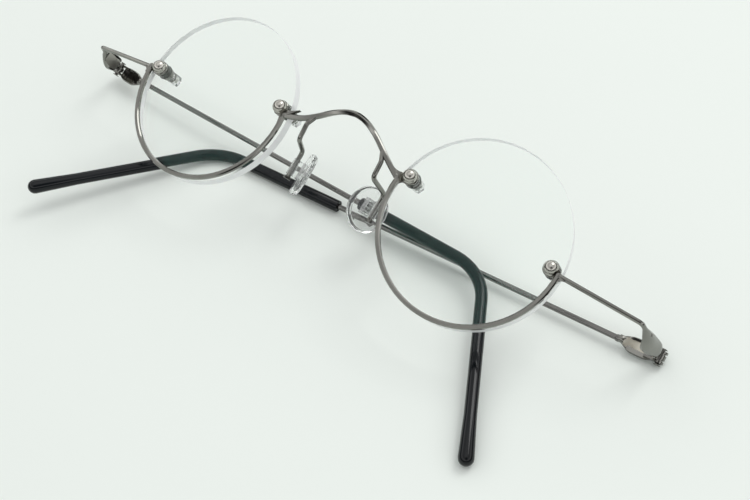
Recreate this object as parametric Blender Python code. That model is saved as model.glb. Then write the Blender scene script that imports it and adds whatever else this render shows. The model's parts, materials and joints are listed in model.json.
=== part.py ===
"""Half-rim reading glasses with drilled round lenses, folded and lying on their back.

Each shape is laid out in the wearer's frame first: X towards the wearer's left, Y from the
front back towards the face, Z up, with the origin midway between the lens centres.
The resting_pose empty then lays the whole pair on its back, with the lowest point at Z = 0.
"""
from math import ceil, cos, pi, radians, sin

import bmesh
import bpy
from mathutils import Matrix, Vector

MM = 0.001

# The wearer's sides: left is towards +X
LEFT = 1
RIGHT = -1
SIDE_NAMES = {LEFT: "left", RIGHT: "right"}

# Clear space between neighbouring pieces
CLEARANCE = 0.3 * MM

# Lenses
LENS_SPACING = 60.0 * MM
LENS_RADIUS = 17.15 * MM
LENS_EDGE_THICKNESS = 1.9 * MM
LENS_FRONT_BULGE = 0.25 * MM
LENS_BACK_HOLLOW = 0.25 * MM
LENS_SEGMENTS = 64

# The front's two halves: wrapped back at the temples, and each turned a little about its lens by wear
FACE_WRAP = radians(4.3)
FRONT_TWIST = radians(1.0)

# Half rims: they run just inside the lens edge, from the temporal side under the lens to the nose
RIM_INSET = 0.33 * MM
RIM_RADIUS = LENS_RADIUS - RIM_INSET
RIM_WIDTH = 0.9 * MM
RIM_DEPTH = 0.92 * MM
RIM_START = radians(-1.5)
RIM_SWEEP = radians(184.5)
CORNER_BEVEL = 0.2 * MM

# Screw places: how far inside the lens edge, and the angle round the lens from its outer side
TEMPORAL_HOLE_INSET = 2.05 * MM
TEMPORAL_HOLE_ANGLE = radians(1.7)
NASAL_HOLE_INSET = 1.85 * MM
NASAL_HOLE_ANGLE = radians(166.8)

# Where a rim meets the end piece or the bridge: how far outside the rim's middle line, and the angle
TEMPORAL_JOINT_REACH = 0.13 * MM
TEMPORAL_JOINT_ANGLE = radians(-0.5)
NASAL_JOINT_REACH = 0.39 * MM
NASAL_JOINT_ANGLE = radians(172.15)
JOINT_RADIUS = 0.46 * MM
JOINT_FRONT = -0.34 * MM


def at_angle(reach, angle):
    """Outward and upward distances from a lens centre."""
    return (reach * cos(angle), reach * sin(angle))


TEMPORAL_HOLE = at_angle(LENS_RADIUS - TEMPORAL_HOLE_INSET, TEMPORAL_HOLE_ANGLE)
NASAL_HOLE = at_angle(LENS_RADIUS - NASAL_HOLE_INSET, NASAL_HOLE_ANGLE)
TEMPORAL_JOINT = at_angle(RIM_RADIUS + TEMPORAL_JOINT_REACH, TEMPORAL_JOINT_ANGLE)
NASAL_JOINT = at_angle(RIM_RADIUS + NASAL_JOINT_REACH, NASAL_JOINT_ANGLE)

# Screw lugs: a thin round plate with a boss behind it that fills the lens hole
LUG_RADIUS = 1.5 * MM
LUG_FRONT = 0.4 * MM
LUG_BACK = 0.9 * MM
BOSS_RADIUS = 1.1 * MM
BOSS_BACK = 2.8 * MM
LENS_FRONT = LUG_BACK + CLEARANCE

# The neck that steps back from the rim's joint to the lug: half widths at the lug, its waist and the joint
NECK_AT_LUG = 1.2 * MM
NECK_WAIST = 0.95 * MM
NECK_AT_JOINT = 0.55 * MM
NECK_STEP_FROM = 1.32 * MM
NECK_FRONT = -0.4 * MM
NECK_BACK = 0.42 * MM

# The filleted corners where bars meet: how far each fillet runs along its bars
ARM_FILLET = 1.4 * MM
RIM_FILLET = 2.3 * MM
BRIDGE_FILLET = 3.2 * MM
NECK_FILLET = 0.95 * MM
WEB_STEPS = 5                    # the sides of a filleted corner's curve
WEB_LAP = 0.2 * MM               # how far a filleted corner laps past its joint's middle
WEB_SINK = 0.97                  # how much of the neck's depth the filleted corners fill

# Bridge: height and forward bow of its middle line, at even steps from its middle towards each rim
BRIDGE_HEIGHTS = (8.75 * MM, 8.3 * MM, 7.1 * MM, 5.4 * MM, 3.8 * MM)
BRIDGE_BOWS = (1.55 * MM, 1.4 * MM, 0.95 * MM, 0.6 * MM, 0.7 * MM)
BRIDGE_STEPS = 5.2
BRIDGE_WIDTH = 0.98 * MM
BRIDGE_ROOT_WIDTH = 1.0 * MM
BRIDGE_THICKNESS = 0.88 * MM
BRIDGE_TWIST = radians(30.0)
BRIDGE_TWIST_REACH = 8.0 * MM

# Pad arms and the bars that carry the pads
PAD_ARM_LEAVES = 7.6 * MM
PAD_ARM_SHOULDER = 8.55 * MM
PAD_ARM_SHOULDER_FALL = 1.35 * MM
PAD_ARM_DROP = 0.1 * MM
PAD_ARM_STEP_BACK = 0.5 * MM
PAD_BAR_OUT = 9.6 * MM
PAD_BAR_BACK = 5.3 * MM
PAD_BAR_TOP = -0.85 * MM
PAD_BAR_BOTTOM = -6.6 * MM
PAD_ARM_RADIUS = 0.46 * MM
PAD_ARM_BEND = 1.1 * MM
PAD_FOOT_LENGTH = 1.5 * MM
PAD_FOOT_WIDTH = 1.0 * MM
PAD_FOOT_HEIGHT = 0.5 * MM

# Nose pads
PAD_SPLAY = radians(32.0)
PAD_RADIUS = 4.4 * MM
PAD_THICKNESS = 1.6 * MM
PAD_FLAT_RADIUS = 2.8 * MM
PAD_CENTRE_DROP = 4.6 * MM
PAD_STEM_TOP = -2.7 * MM
PAD_STEM_BOTTOM = -5.9 * MM
PAD_STEM_WIDTH = 2.6 * MM
PAD_STEM_OUTER = 1.9 * MM
PAD_DISC_START = 1.8 * MM

# End pieces: the straight arm, then the hollow shell that shields the hinge from outside
ARM_HEIGHT = 0.84 * MM
ARM_DEPTH = 0.86 * MM
ARM_CORNER = (32.5 * MM, 1.9 * MM, -0.62 * MM)
ARM_BEND = 0.9 * MM

# Shell of the end piece: distance before the hinge pin, drop, half depth, half height, hollowness
END_SHELL = (
    (12.2 * MM, 0.0 * MM, 0.43 * MM, 0.42 * MM, 0.0),
    (10.4 * MM, 0.05 * MM, 0.43 * MM, 0.5 * MM, 0.0),
    (8.8 * MM, 0.35 * MM, 0.8 * MM, 1.15 * MM, 0.6),
    (6.8 * MM, 0.5 * MM, 1.15 * MM, 1.8 * MM, 1.0),
    (4.6 * MM, 0.25 * MM, 1.15 * MM, 1.8 * MM, 1.0),
    (2.8 * MM, -0.1 * MM, 0.95 * MM, 1.5 * MM, 1.0),
    (1.95 * MM, -0.1 * MM, 0.7 * MM, 1.15 * MM, 0.7),
    (1.3 * MM, 0.12 * MM, 0.42 * MM, 0.38 * MM, 0.0),
    (0.2 * MM, 0.0 * MM, 0.38 * MM, 0.34 * MM, 0.0),
)
SHELL_WALL = 0.5 * MM
SHELL_BULGE = 0.35 * MM
SHELL_EDGE = radians(118.0)

# Temple hinges
HINGE_OUT = 65.15 * MM
HINGE_BACK = 16.25 * MM
HINGE_DROP = 2.1 * MM
HINGE_LEAN = radians(2.0)
BARREL_RADIUS = 0.98 * MM
BARREL_HALF_HEIGHT = 0.42 * MM
EYE_THICKNESS = 0.42 * MM
EYE_RADIUS = 1.0 * MM
EYE_REACH = 2.6 * MM
PIN_RADIUS = 0.36 * MM
PIN_HEAD_RADIUS = 0.75 * MM
PIN_HEAD_HEIGHT = 0.15 * MM
PIN_CUT_REACH = 3.0 * MM

# Hollow root of a temple, with a thicker wall below: distance from the pin, inset, drop, half depth,
# half height, hollowness
ROOT_LOWER_WALL = 0.9 * MM
TEMPLE_SHELL = (
    (1.4 * MM, -0.1 * MM, 0.05 * MM, 0.65 * MM, 1.2 * MM, 1.0),
    (2.4 * MM, 0.0 * MM, 0.15 * MM, 0.85 * MM, 1.5 * MM, 1.0),
    (4.0 * MM, 0.2 * MM, 0.2 * MM, 0.95 * MM, 1.55 * MM, 1.0),
    (5.4 * MM, 0.3 * MM, 0.25 * MM, 0.9 * MM, 1.45 * MM, 1.0),
    (6.4 * MM, 0.38 * MM, 0.2 * MM, 0.8 * MM, 1.05 * MM, 0.4),
    (7.0 * MM, 0.4 * MM, 0.15 * MM, 0.72 * MM, 0.74 * MM, 0.0),
    (7.6 * MM, 0.4 * MM, 0.15 * MM, 0.72 * MM, 0.72 * MM, 0.0),
)

# Temple wires and tips, measured along each temple from its hinge pin
WIRE_RADIUS = 0.52 * MM
WIRE_INSET = 0.4 * MM
WIRE_DROP = 0.15 * MM
TENON_RADIUS = 0.25 * MM
TENON_LENGTH = 1.8 * MM
TIP_START = 67.5 * MM
BEND_AT = 96.3 * MM
TIP_DROP_LENGTH = 37.4 * MM
BEND_RADIUS = 11.0 * MM
TIP_RADIUS = 1.15 * MM
TIP_BULB_RADIUS = 1.4 * MM
TIP_BULB_LENGTH = 6.0 * MM
WIRE_END_BEFORE_TIP = 14.0 * MM
TIP_STATION_SPACING = 9.0 * MM

# How each temple is folded and how its wire has been bent
FOLD_ANGLE = {LEFT: radians(90.5), RIGHT: radians(91.7)}
WIRE_DROOP = {LEFT: radians(1.0), RIGHT: radians(-1.0)}
TIP_BEND = {LEFT: radians(47.9), RIGHT: radians(55.7)}
TIP_TUCK = {LEFT: radians(28.3), RIGHT: radians(20.3)}

# Lens screws and what holds them behind the lens
BALL_RADIUS = 1.18 * MM
SHANK_RADIUS = 0.5 * MM
HOLE_CUT_REACH = 2.0 * MM
SLEEVE_RADIUS = 1.08 * MM
SLEEVE_FLANGE_RADIUS = 1.65 * MM
SLEEVE_FLANGE_DEPTH = 0.3 * MM
SLEEVE_LENGTH = 1.5 * MM
NUT_ACROSS_CORNERS = 2.3 * MM
NUT_DEPTH = 0.4 * MM
CAP_ACROSS_CORNERS = 2.4 * MM
CAP_DEPTH = 1.7 * MM
CAP_WALL = 0.4 * MM
CAP_ROUNDING = 0.25 * MM

# How the folded pair lies: turned about the wearer's X, then about the view's depth
REST_TILT = radians(28.44)
REST_ROLL = radians(0.64)


def clear_scene():
    """Remove what the scene held before."""
    for old in list(bpy.data.objects):
        bpy.data.objects.remove(old, do_unlink=True)


def material(name, colour, roughness, metallic, alpha=1.0):
    """One Principled material."""
    made = bpy.data.materials.new(name)
    made.use_nodes = True
    shader = made.node_tree.nodes["Principled BSDF"]
    shader.inputs["Base Color"].default_value = (*colour, 1.0)
    shader.inputs["Roughness"].default_value = roughness
    shader.inputs["Metallic"].default_value = metallic
    shader.inputs["Alpha"].default_value = alpha
    made.diffuse_color = (*colour, alpha)
    return made


def empty(name, parent=None, matrix=None):
    """A guide that carries a frame of axes."""
    made = bpy.data.objects.new(name, None)
    made.empty_display_size = 0.004
    bpy.context.scene.collection.objects.link(made)
    made.parent = parent
    if matrix is not None:
        made.matrix_local = matrix
    return made


def finish_mesh(name, mesh_data, parent, finish):
    """Turn a closed bmesh into a smooth-shaded object."""
    bmesh.ops.remove_doubles(mesh_data, verts=mesh_data.verts, dist=1e-7)
    bmesh.ops.recalc_face_normals(mesh_data, faces=mesh_data.faces)
    mesh = bpy.data.meshes.new(name)
    mesh_data.to_mesh(mesh)
    mesh_data.free()
    made = bpy.data.objects.new(name, mesh)
    bpy.context.scene.collection.objects.link(made)
    made.parent = parent
    if finish is not None:
        mesh.materials.append(finish)
    mesh.shade_smooth()
    mesh.set_sharp_from_angle(angle=radians(40.0))
    return made


def boolean(target, tool, operation):
    """Add one exact Boolean, and hide its tool."""
    tool.hide_render = True
    tool.display_type = "WIRE"
    modifier = target.modifiers.new(tool.name, "BOOLEAN")
    modifier.operation = operation
    modifier.solver = "EXACT"
    modifier.object = tool


def loft(rings):
    """Skin a row of rings and cap both ends, or fan to a ring of one point."""
    mesh = bmesh.new()
    rows = [[mesh.verts.new(point) for point in ring] for ring in rings]
    for first, second in zip(rows, rows[1:]):
        join_rows(mesh, first, second)
    for end in (rows[0], rows[-1]):
        if len(end) > 2:
            mesh.faces.new(end)
    return mesh


def join_rows(mesh, first, second):
    """Faces between two rings, either of which may be a single point."""
    count = max(len(first), len(second))
    for index in range(count):
        following = (index + 1) % count
        if len(first) == 1:
            mesh.faces.new((first[0], second[index], second[following]))
        elif len(second) == 1:
            mesh.faces.new((first[index], first[following], second[0]))
        else:
            mesh.faces.new((first[index], first[following], second[following], second[index]))


def revolve(profile, segments, start=0.0):
    """Rings of a turned shape about Y, from (radius, depth) pairs."""
    rings = []
    for radius, depth in profile:
        if radius == 0.0:
            rings.append([Vector((0.0, depth, 0.0))])
            continue
        turns = [start + 2.0 * pi * step / segments for step in range(segments)]
        rings.append([Vector((radius * cos(turn), depth, radius * sin(turn))) for turn in turns])
    return rings


def turned(profile, segments, start=0.0, hollow=False):
    """A closed turned body about Y; a hollow one joins its last ring to its first."""
    rings = revolve(profile, segments, start)
    if not hollow:
        return loft(rings)
    mesh = bmesh.new()
    rows = [[mesh.verts.new(point) for point in ring] for ring in rings]
    for first, second in zip(rows, rows[1:] + rows[:1]):
        join_rows(mesh, first, second)
    return mesh


def bevelled_section(width, thickness, bevel):
    """Corners of a rectangle with bevelled edges, in turn."""
    half_width = width / 2.0
    half_depth = thickness / 2.0
    corners = []
    for sign_w, sign_t, first_w in ((1, 1, True), (-1, 1, False), (-1, -1, True), (1, -1, False)):
        near_w = (sign_w * half_width, sign_t * (half_depth - bevel))
        near_t = (sign_w * (half_width - bevel), sign_t * half_depth)
        corners += [near_w, near_t] if first_w else [near_t, near_w]
    return corners


def round_section(radius, sides):
    """Points of a circle."""
    return [(radius * cos(2.0 * pi * step / sides), radius * sin(2.0 * pi * step / sides)) for step in range(sides)]


def sweep_section(path, across, index, section, turn=0.0):
    """One section of a sweep; across holds the section's first axis at each point."""
    before = path[max(index - 1, 0)]
    after = path[min(index + 1, len(path) - 1)]
    tangent = (after - before).normalized()
    wide = (across[index] - tangent * across[index].dot(tangent)).normalized()
    wide = Matrix.Rotation(turn, 3, tangent) @ wide
    deep = tangent.cross(wide)
    return [path[index] + wide * width + deep * depth for width, depth in section]


def sweep(path, section, across):
    """Rings of one section along a path."""
    return [sweep_section(path, across, index, section) for index in range(len(path))]


def carried_across(path, start):
    """The section's first axis carried along a path without spinning."""
    carried = []
    current = start
    for index, point in enumerate(path):
        before = path[max(index - 1, 0)]
        after = path[min(index + 1, len(path) - 1)]
        tangent = (after - before).normalized()
        current = (current - tangent * current.dot(tangent)).normalized()
        carried.append(current.copy())
    return carried


def rounded_path(points, radius, steps=6):
    """Straight runs joined by arcs of one radius."""
    path = [points[0]]
    for before, corner, after in zip(points, points[1:], points[2:]):
        come = (before - corner).normalized()
        leave = (after - corner).normalized()
        half = come.angle(leave) / 2.0
        reach = radius / (sin(half) / cos(half))
        middle = corner + (come + leave).normalized() * (radius / sin(half))
        start = corner + come * reach - middle
        turn_axis = (-come).cross(leave).normalized()
        turned_by = pi - 2.0 * half
        for step in range(steps + 1):
            turn = Matrix.Rotation(turned_by * step / steps, 3, turn_axis)
            path.append(middle + turn @ start)
    path.append(points[-1])
    return path


def smooth_curve(points, steps):
    """A Catmull-Rom curve through the points."""
    extended = [points[0] * 2.0 - points[1]] + points + [points[-1] * 2.0 - points[-2]]
    curve = []
    for before, first, second, after in zip(extended, extended[1:], extended[2:], extended[3:]):
        for step in range(steps):
            part = step / steps
            curve.append(
                0.5 * (2.0 * first + (second - before) * part
                       + (2.0 * before - 5.0 * first + 4.0 * second - after) * part ** 2
                       + (3.0 * first - before - 3.0 * second + after) * part ** 3))
    curve.append(points[-1])
    return curve


def lens_plane(side):
    """The frame of one lens: its own X points outward, and Y back, square to the lens."""
    place = Matrix.Translation((side * LENS_SPACING / 2.0, 0.0, 0.0))
    return place @ Matrix.Rotation(side * FACE_WRAP, 4, "Z") @ Matrix.Rotation(-FRONT_TWIST, 4, "Y")


def in_lens(side, out, back, up):
    """A point given outward, back and up from a lens centre."""
    return lens_plane(side) @ Vector((side * out, back, up))


def hinge_frame(side):
    """The hinge's rest axes: X along the folded temple and Z up the pin."""
    up = Vector((-side * sin(HINGE_LEAN), 0.0, cos(HINGE_LEAN)))
    fold = FOLD_ANGLE[side]
    along = Matrix.Rotation(side * fold, 3, up) @ Vector((0.0, 1.0, 0.0))
    across = up.cross(along)
    turn = Matrix((along, across, up)).transposed().to_4x4()
    return Matrix.Translation((side * HINGE_OUT, HINGE_BACK, -HINGE_DROP)) @ turn


def pad_frame(side):
    """The pad's pivot: Y points from the bar through the pad, and Z up the bar."""
    toward = Vector((-side * cos(PAD_SPLAY), sin(PAD_SPLAY), 0.0))
    up = Vector((0.0, 0.0, 1.0))
    across = toward.cross(up)
    turn = Matrix((across, toward, up)).transposed().to_4x4()
    return Matrix.Translation((side * PAD_BAR_OUT, PAD_BAR_BACK, 0.0)) @ turn


def cylinder_between(low, high, radius, sides=20):
    """A plain closed cylinder between two points."""
    line = (high - low).normalized()
    turn = line.to_track_quat("Z", "Y").to_matrix()
    rings = []
    for end in (low, high):
        circle = round_section(radius, sides)
        rings.append([end + turn @ Vector((x, y, 0.0)) for x, y in circle])
    return loft(rings)


def rim_mesh(side):
    """The half rim under one lens, from its temporal eyelet round to the nasal one."""
    steps = 40
    path = []
    across = []
    for step in range(steps + 1):
        angle = RIM_START - RIM_SWEEP * step / steps
        radial = in_lens(side, cos(angle), 0.0, sin(angle)) - in_lens(side, 0.0, 0.0, 0.0)
        path.append(in_lens(side, 0.0, 0.0, 0.0) + radial * RIM_RADIUS)
        across.append(radial)
    return loft(sweep(path, bevelled_section(RIM_WIDTH, RIM_DEPTH, CORNER_BEVEL), across))


def lug_mesh(side, hole):
    """The round lug that a lens screw goes through, with the boss behind it."""
    easing = CORNER_BEVEL / 2.0
    profile = [
        (0.0, LUG_FRONT), (LUG_RADIUS - easing, LUG_FRONT), (LUG_RADIUS, LUG_FRONT + easing),
        (LUG_RADIUS, LUG_BACK), (BOSS_RADIUS, LUG_BACK), (BOSS_RADIUS, BOSS_BACK), (0.0, BOSS_BACK),
    ]
    mesh = turned(profile, 24)
    mesh.transform(lens_plane(side) @ Matrix.Translation((side * hole[0], 0.0, hole[1])))
    return mesh


def lug_neck_mesh(side, hole, joint):
    """The neck from a lug to where the rim meets the arm or the bridge, stepping forward on its way."""
    start = Vector(hole)
    span = Vector(joint) - start
    reach = span.normalized()
    wide = Vector((-reach.y, reach.x))
    stations = ((NECK_STEP_FROM / 2.0, NECK_AT_LUG), (NECK_STEP_FROM, NECK_WAIST), (span.length, NECK_AT_JOINT))
    rings = []
    for distance, half_width in stations:
        front, back = neck_depths(distance, span.length)
        middle = start + reach * distance
        left = middle - wide * half_width
        right = middle + wide * half_width
        corners = ((left, front), (right, front), (right, back), (left, back))
        rings.append([in_lens(side, flat.x, depth, flat.y) for flat, depth in corners])
    return loft(rings)


def neck_depths(distance, span):
    """Front and back of the metal at a distance from a screw's axis, where the joint is a span away."""
    share = min(max((distance - NECK_STEP_FROM) / (span - NECK_STEP_FROM), 0.0), 1.0)
    front = LUG_FRONT + CORNER_BEVEL / 4.0
    back = LUG_BACK - CORNER_BEVEL / 4.0
    return front + (NECK_FRONT - front) * share, back + (NECK_BACK - back) * share


def corner_web_mesh(side, hole, joint, first, second):
    """The filleted corner between two bars that meet at a joint; a bar is its direction, reach and half width."""
    centre = Vector(joint)
    ahead, reach, half = first
    aside, other_reach, other_half = second
    turn = ahead.cross(aside)
    sign = 1.0 if turn > 0.0 else -1.0
    normal = Vector((-ahead.y, ahead.x)) * sign * half
    other_normal = Vector((aside.y, -aside.x)) * sign * other_half
    corner = centre + normal + ahead * ((other_normal - normal).cross(aside) / turn)
    start = centre + normal + ahead * reach
    end = centre + other_normal + aside * other_reach
    outline = [centre - (ahead + aside) * WEB_LAP]
    for step in range(WEB_STEPS + 1):
        part = step / WEB_STEPS
        outline.append(start * (1.0 - part) ** 2 + corner * 2.0 * part * (1.0 - part) + end * part ** 2)
    mesh = bmesh.new()
    rows = ([], [])
    span = (centre - Vector(hole)).length
    for flat in outline:
        for row, depth in zip(rows, neck_depths((flat - Vector(hole)).length, span)):
            row.append(mesh.verts.new(in_lens(side, flat.x, depth * WEB_SINK, flat.y)))
    join_rows(mesh, *rows)
    for row in rows:
        for index in range(1, len(row) - 1):
            mesh.faces.new((row[0], row[index], row[index + 1]))
    return mesh


def bar_directions():
    """Which way each bar leaves its joint, as seen square to the lens."""
    arm = Vector((ARM_CORNER[0], ARM_CORNER[2])) - Vector(TEMPORAL_JOINT)
    path = smooth_curve(bridge_points(), 5)
    bridge = lens_plane(LEFT).inverted().to_3x3() @ (path[-3] - path[-1])
    nasal_neck = Vector(NASAL_HOLE) - Vector(NASAL_JOINT)
    return {
        "arm": arm.normalized(),
        "temporal_rim": Vector((sin(TEMPORAL_JOINT_ANGLE), -cos(TEMPORAL_JOINT_ANGLE))),
        "nasal_rim": Vector((-sin(NASAL_JOINT_ANGLE), cos(NASAL_JOINT_ANGLE))),
        "bridge": Vector((bridge.x, bridge.z)).normalized(),
        "nasal_neck": nasal_neck.normalized(),
    }


def corner_webs(side):
    """The filleted corners of one side, where its rim, arm, bridge and necks meet."""
    bars = bar_directions()
    arm = (bars["arm"], ARM_FILLET, ARM_HEIGHT * 0.49)
    outer_rim = (bars["temporal_rim"], ARM_FILLET, RIM_WIDTH * 0.49 - TEMPORAL_JOINT_REACH)
    inner_rim = (bars["nasal_rim"], RIM_FILLET, RIM_WIDTH * 0.49 + NASAL_JOINT_REACH)
    bridge = (bars["bridge"], BRIDGE_FILLET, BRIDGE_THICKNESS * 0.49)
    nasal_neck = (bars["nasal_neck"], NECK_FILLET, NECK_WAIST * 0.95)
    return {
        "arm_web": corner_web_mesh(side, TEMPORAL_HOLE, TEMPORAL_JOINT, outer_rim, arm),
        "bridge_web": corner_web_mesh(side, NASAL_HOLE, NASAL_JOINT, bridge, nasal_neck),
        "rim_web": corner_web_mesh(side, NASAL_HOLE, NASAL_JOINT, inner_rim, nasal_neck),
    }


def joint_mesh(side, joint):
    """The round thickening where the rim meets the arm or the bridge."""
    front = in_lens(side, joint[0], JOINT_FRONT, joint[1])
    back = in_lens(side, joint[0], -JOINT_FRONT, joint[1])
    return cylinder_between(front, back, JOINT_RADIUS)


def bridge_points():
    """The bridge's middle line from the right eyelet over the nose to the left one."""
    left_end = in_lens(LEFT, NASAL_JOINT[0], 0.0, NASAL_JOINT[1])
    right_end = in_lens(RIGHT, NASAL_JOINT[0], 0.0, NASAL_JOINT[1])
    step = left_end.x / BRIDGE_STEPS
    half = [Vector((step * index, -bow, height))
            for index, (height, bow) in enumerate(zip(BRIDGE_HEIGHTS, BRIDGE_BOWS))]
    mirrored = [Vector((-point.x, point.y, point.z)) for point in reversed(half[1:])]
    return [right_end] + mirrored + half + [left_end]


def on_bridge(side, out):
    """The point of the bridge's middle line at a distance from its middle."""
    path = smooth_curve(bridge_points(), 5)
    for first, second in zip(path, path[1:]):
        if min(first.x, second.x) <= side * out <= max(first.x, second.x):
            return first.lerp(second, (side * out - first.x) / (second.x - first.x))
    return path[-1] if side == LEFT else path[0]


def bridge_mesh():
    """The saddle bridge: a strip that rises over the nose, narrows and twists towards its top."""
    path = smooth_curve(bridge_points(), 5)
    across = carried_across(path, Vector((0.0, 1.0, 0.0)))
    reach = path[-1].x
    rings = []
    for index, point in enumerate(path):
        nearness = max(0.0, 1.0 - abs(point.x) / BRIDGE_TWIST_REACH)
        turn = BRIDGE_TWIST * nearness * nearness * (3.0 - 2.0 * nearness)
        share = (abs(point.x) / reach) ** 2
        width = BRIDGE_WIDTH * (1.0 - share) + BRIDGE_ROOT_WIDTH * share
        section = bevelled_section(BRIDGE_THICKNESS, width, CORNER_BEVEL)
        rings.append(sweep_section(path, across, index, section, turn))
    return loft(rings)


def pad_arm_mesh(side):
    """The arm that peels off the bridge, drops, turns back and ends in the pad's upright bar."""
    leave = on_bridge(side, PAD_ARM_LEAVES)
    shoulder = on_bridge(side, PAD_ARM_SHOULDER) - Vector((0.0, 0.0, PAD_ARM_SHOULDER_FALL))
    points = [
        leave,
        shoulder,
        Vector((shoulder.x, shoulder.y + PAD_ARM_STEP_BACK, PAD_ARM_DROP)),
        Vector((side * PAD_BAR_OUT, PAD_BAR_BACK, PAD_BAR_TOP)),
        Vector((side * PAD_BAR_OUT, PAD_BAR_BACK, PAD_BAR_BOTTOM)),
    ]
    path = rounded_path(points, PAD_ARM_BEND)
    across = carried_across(path, Vector((1.0, 0.0, 0.0)))
    return loft(sweep(path, round_section(PAD_ARM_RADIUS, 12), across))


def box_mesh(frame, low, high, bevel=0.0):
    """A box between two corners of a frame, with its upright edges cut off by the bevel."""
    rings = []
    for up in (low[2], high[2]):
        ring = []
        for x, y in bevelled_section(high[0] - low[0], high[1] - low[1], max(bevel, 0.02 * MM)):
            centre_x = (low[0] + high[0]) / 2.0
            centre_y = (low[1] + high[1]) / 2.0
            ring.append(frame @ Vector((centre_x + x, centre_y + y, up)))
        rings.append(ring)
    return loft(rings)


def pad_foot_mesh(side):
    """The short foot that keeps the pad from sliding off its bar."""
    low = (-PAD_FOOT_WIDTH / 2.0, -PAD_FOOT_LENGTH / 2.0, PAD_BAR_BOTTOM - PAD_FOOT_HEIGHT / 2.0)
    high = (PAD_FOOT_WIDTH / 2.0, PAD_FOOT_LENGTH / 2.0, PAD_BAR_BOTTOM + PAD_FOOT_HEIGHT / 2.0)
    return box_mesh(pad_frame(side), low, high, 0.2 * MM)


def corner_point(side):
    """Where the end piece turns back towards the hinge."""
    return in_lens(side, *ARM_CORNER)


def bar_point(angle, half_depth, half_height):
    """Where a direction leaves the bevelled bar section."""
    depth = abs(cos(angle))
    height = abs(sin(angle))
    reach = (half_depth + half_height - CORNER_BEVEL * 1.4) / (depth + height)
    if depth > 1e-6:
        reach = min(reach, half_depth / depth)
    if height > 1e-6:
        reach = min(reach, half_height / height)
    return Vector((reach * cos(angle), reach * sin(angle)))


def round_point(angle, half_depth, half_height):
    """Where a direction leaves an oval section."""
    return Vector((half_depth * cos(angle), half_height * sin(angle)))


def shell_section(solid_point, half_depth, half_height, hollow, lower_wall=SHELL_WALL):
    """One section, from a solid bar to an open shell, as (outward, up) pairs round it."""
    steps = 8
    lift = Vector((0.0, (lower_wall - SHELL_WALL) / 2.0))
    outer = []
    inner = []
    for step in range(steps + 1):
        share = step / steps
        solid_outer = solid_point(radians(160.0 * share - 80.0), half_depth, half_height)
        solid_inner = solid_point(radians(-160.0 * share - 100.0), half_depth, half_height)
        angle = SHELL_EDGE * (2.0 * share - 1.0)
        inner_depth = max(half_depth - SHELL_WALL, 0.05 * MM)
        inner_height = max(half_height - (SHELL_WALL + lower_wall) / 2.0, 0.05 * MM)
        outer.append(solid_outer.lerp(round_point(angle, half_depth, half_height), hollow))
        inner.append(solid_inner.lerp(round_point(angle, inner_depth, inner_height) + lift, hollow))
    return outer + inner[::-1]


def shell_stations(table, steps):
    """The rows of a shell table, smoothly filled in; its last column stays between 0 and 1."""
    lengths = smooth_curve([Vector(row[:-3]) for row in table], steps)
    halves = smooth_curve([Vector(row[-3:-1]).to_3d() for row in table], steps)
    hollows = smooth_curve([Vector((row[-1], 0.0, 0.0)) for row in table], steps)
    return [(place, half.x, half.y, min(max(hollow.x, 0.0), 1.0))
            for place, half, hollow in zip(lengths, halves, hollows)]


def end_piece_mesh(side):
    """The end piece: out from the rim, round the corner, and the hinge's hollow shell."""
    corner = corner_point(side)
    hinge = hinge_frame(side).translation
    pin = hinge_frame(side).col[2].xyz
    along = (hinge - corner).normalized()
    joint = in_lens(side, TEMPORAL_JOINT[0], 0.0, TEMPORAL_JOINT[1])
    bend = rounded_path([joint, corner, corner + along * ARM_BEND * 2.0], ARM_BEND)[:-1]
    bar = shell_section(bar_point, ARM_DEPTH / 2.0, ARM_HEIGHT / 2.0, 0.0)
    rings = []
    for index, point in enumerate(bend):
        before = bend[max(index - 1, 0)]
        after = bend[index + 1] if index + 1 < len(bend) else point + along
        rings.append(end_piece_ring(point, after - before, pin, side, bar, 0.0))
    for place, half_depth, half_height, hollow in shell_stations(END_SHELL, 3):
        point = hinge - along * place.x - pin * place.y
        if (point - corner).dot(along) < ARM_BEND * 1.2:
            continue
        section = shell_section(bar_point, half_depth, half_height, hollow)
        shift = ARM_DEPTH / 2.0 - half_depth + SHELL_BULGE * hollow
        rings.append(end_piece_ring(point, along, pin, side, section, shift))
    return loft(rings)


def end_piece_ring(point, direction, pin, side, section, shift):
    """One ring of the end piece, with its first axis pointing away from the head."""
    tangent = direction.normalized()
    outward = tangent.cross(pin).normalized() * side
    up = outward.cross(tangent).normalized() * side
    return [point + outward * (pair[0] + shift) + up * pair[1] for pair in section]


def barrel_mesh(side):
    """The front's hinge barrel, which the fork straddles."""
    frame = hinge_frame(side)
    low = frame @ Vector((0.0, 0.0, -BARREL_HALF_HEIGHT))
    high = frame @ Vector((0.0, 0.0, BARREL_HALF_HEIGHT))
    return cylinder_between(low, high, BARREL_RADIUS)


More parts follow.
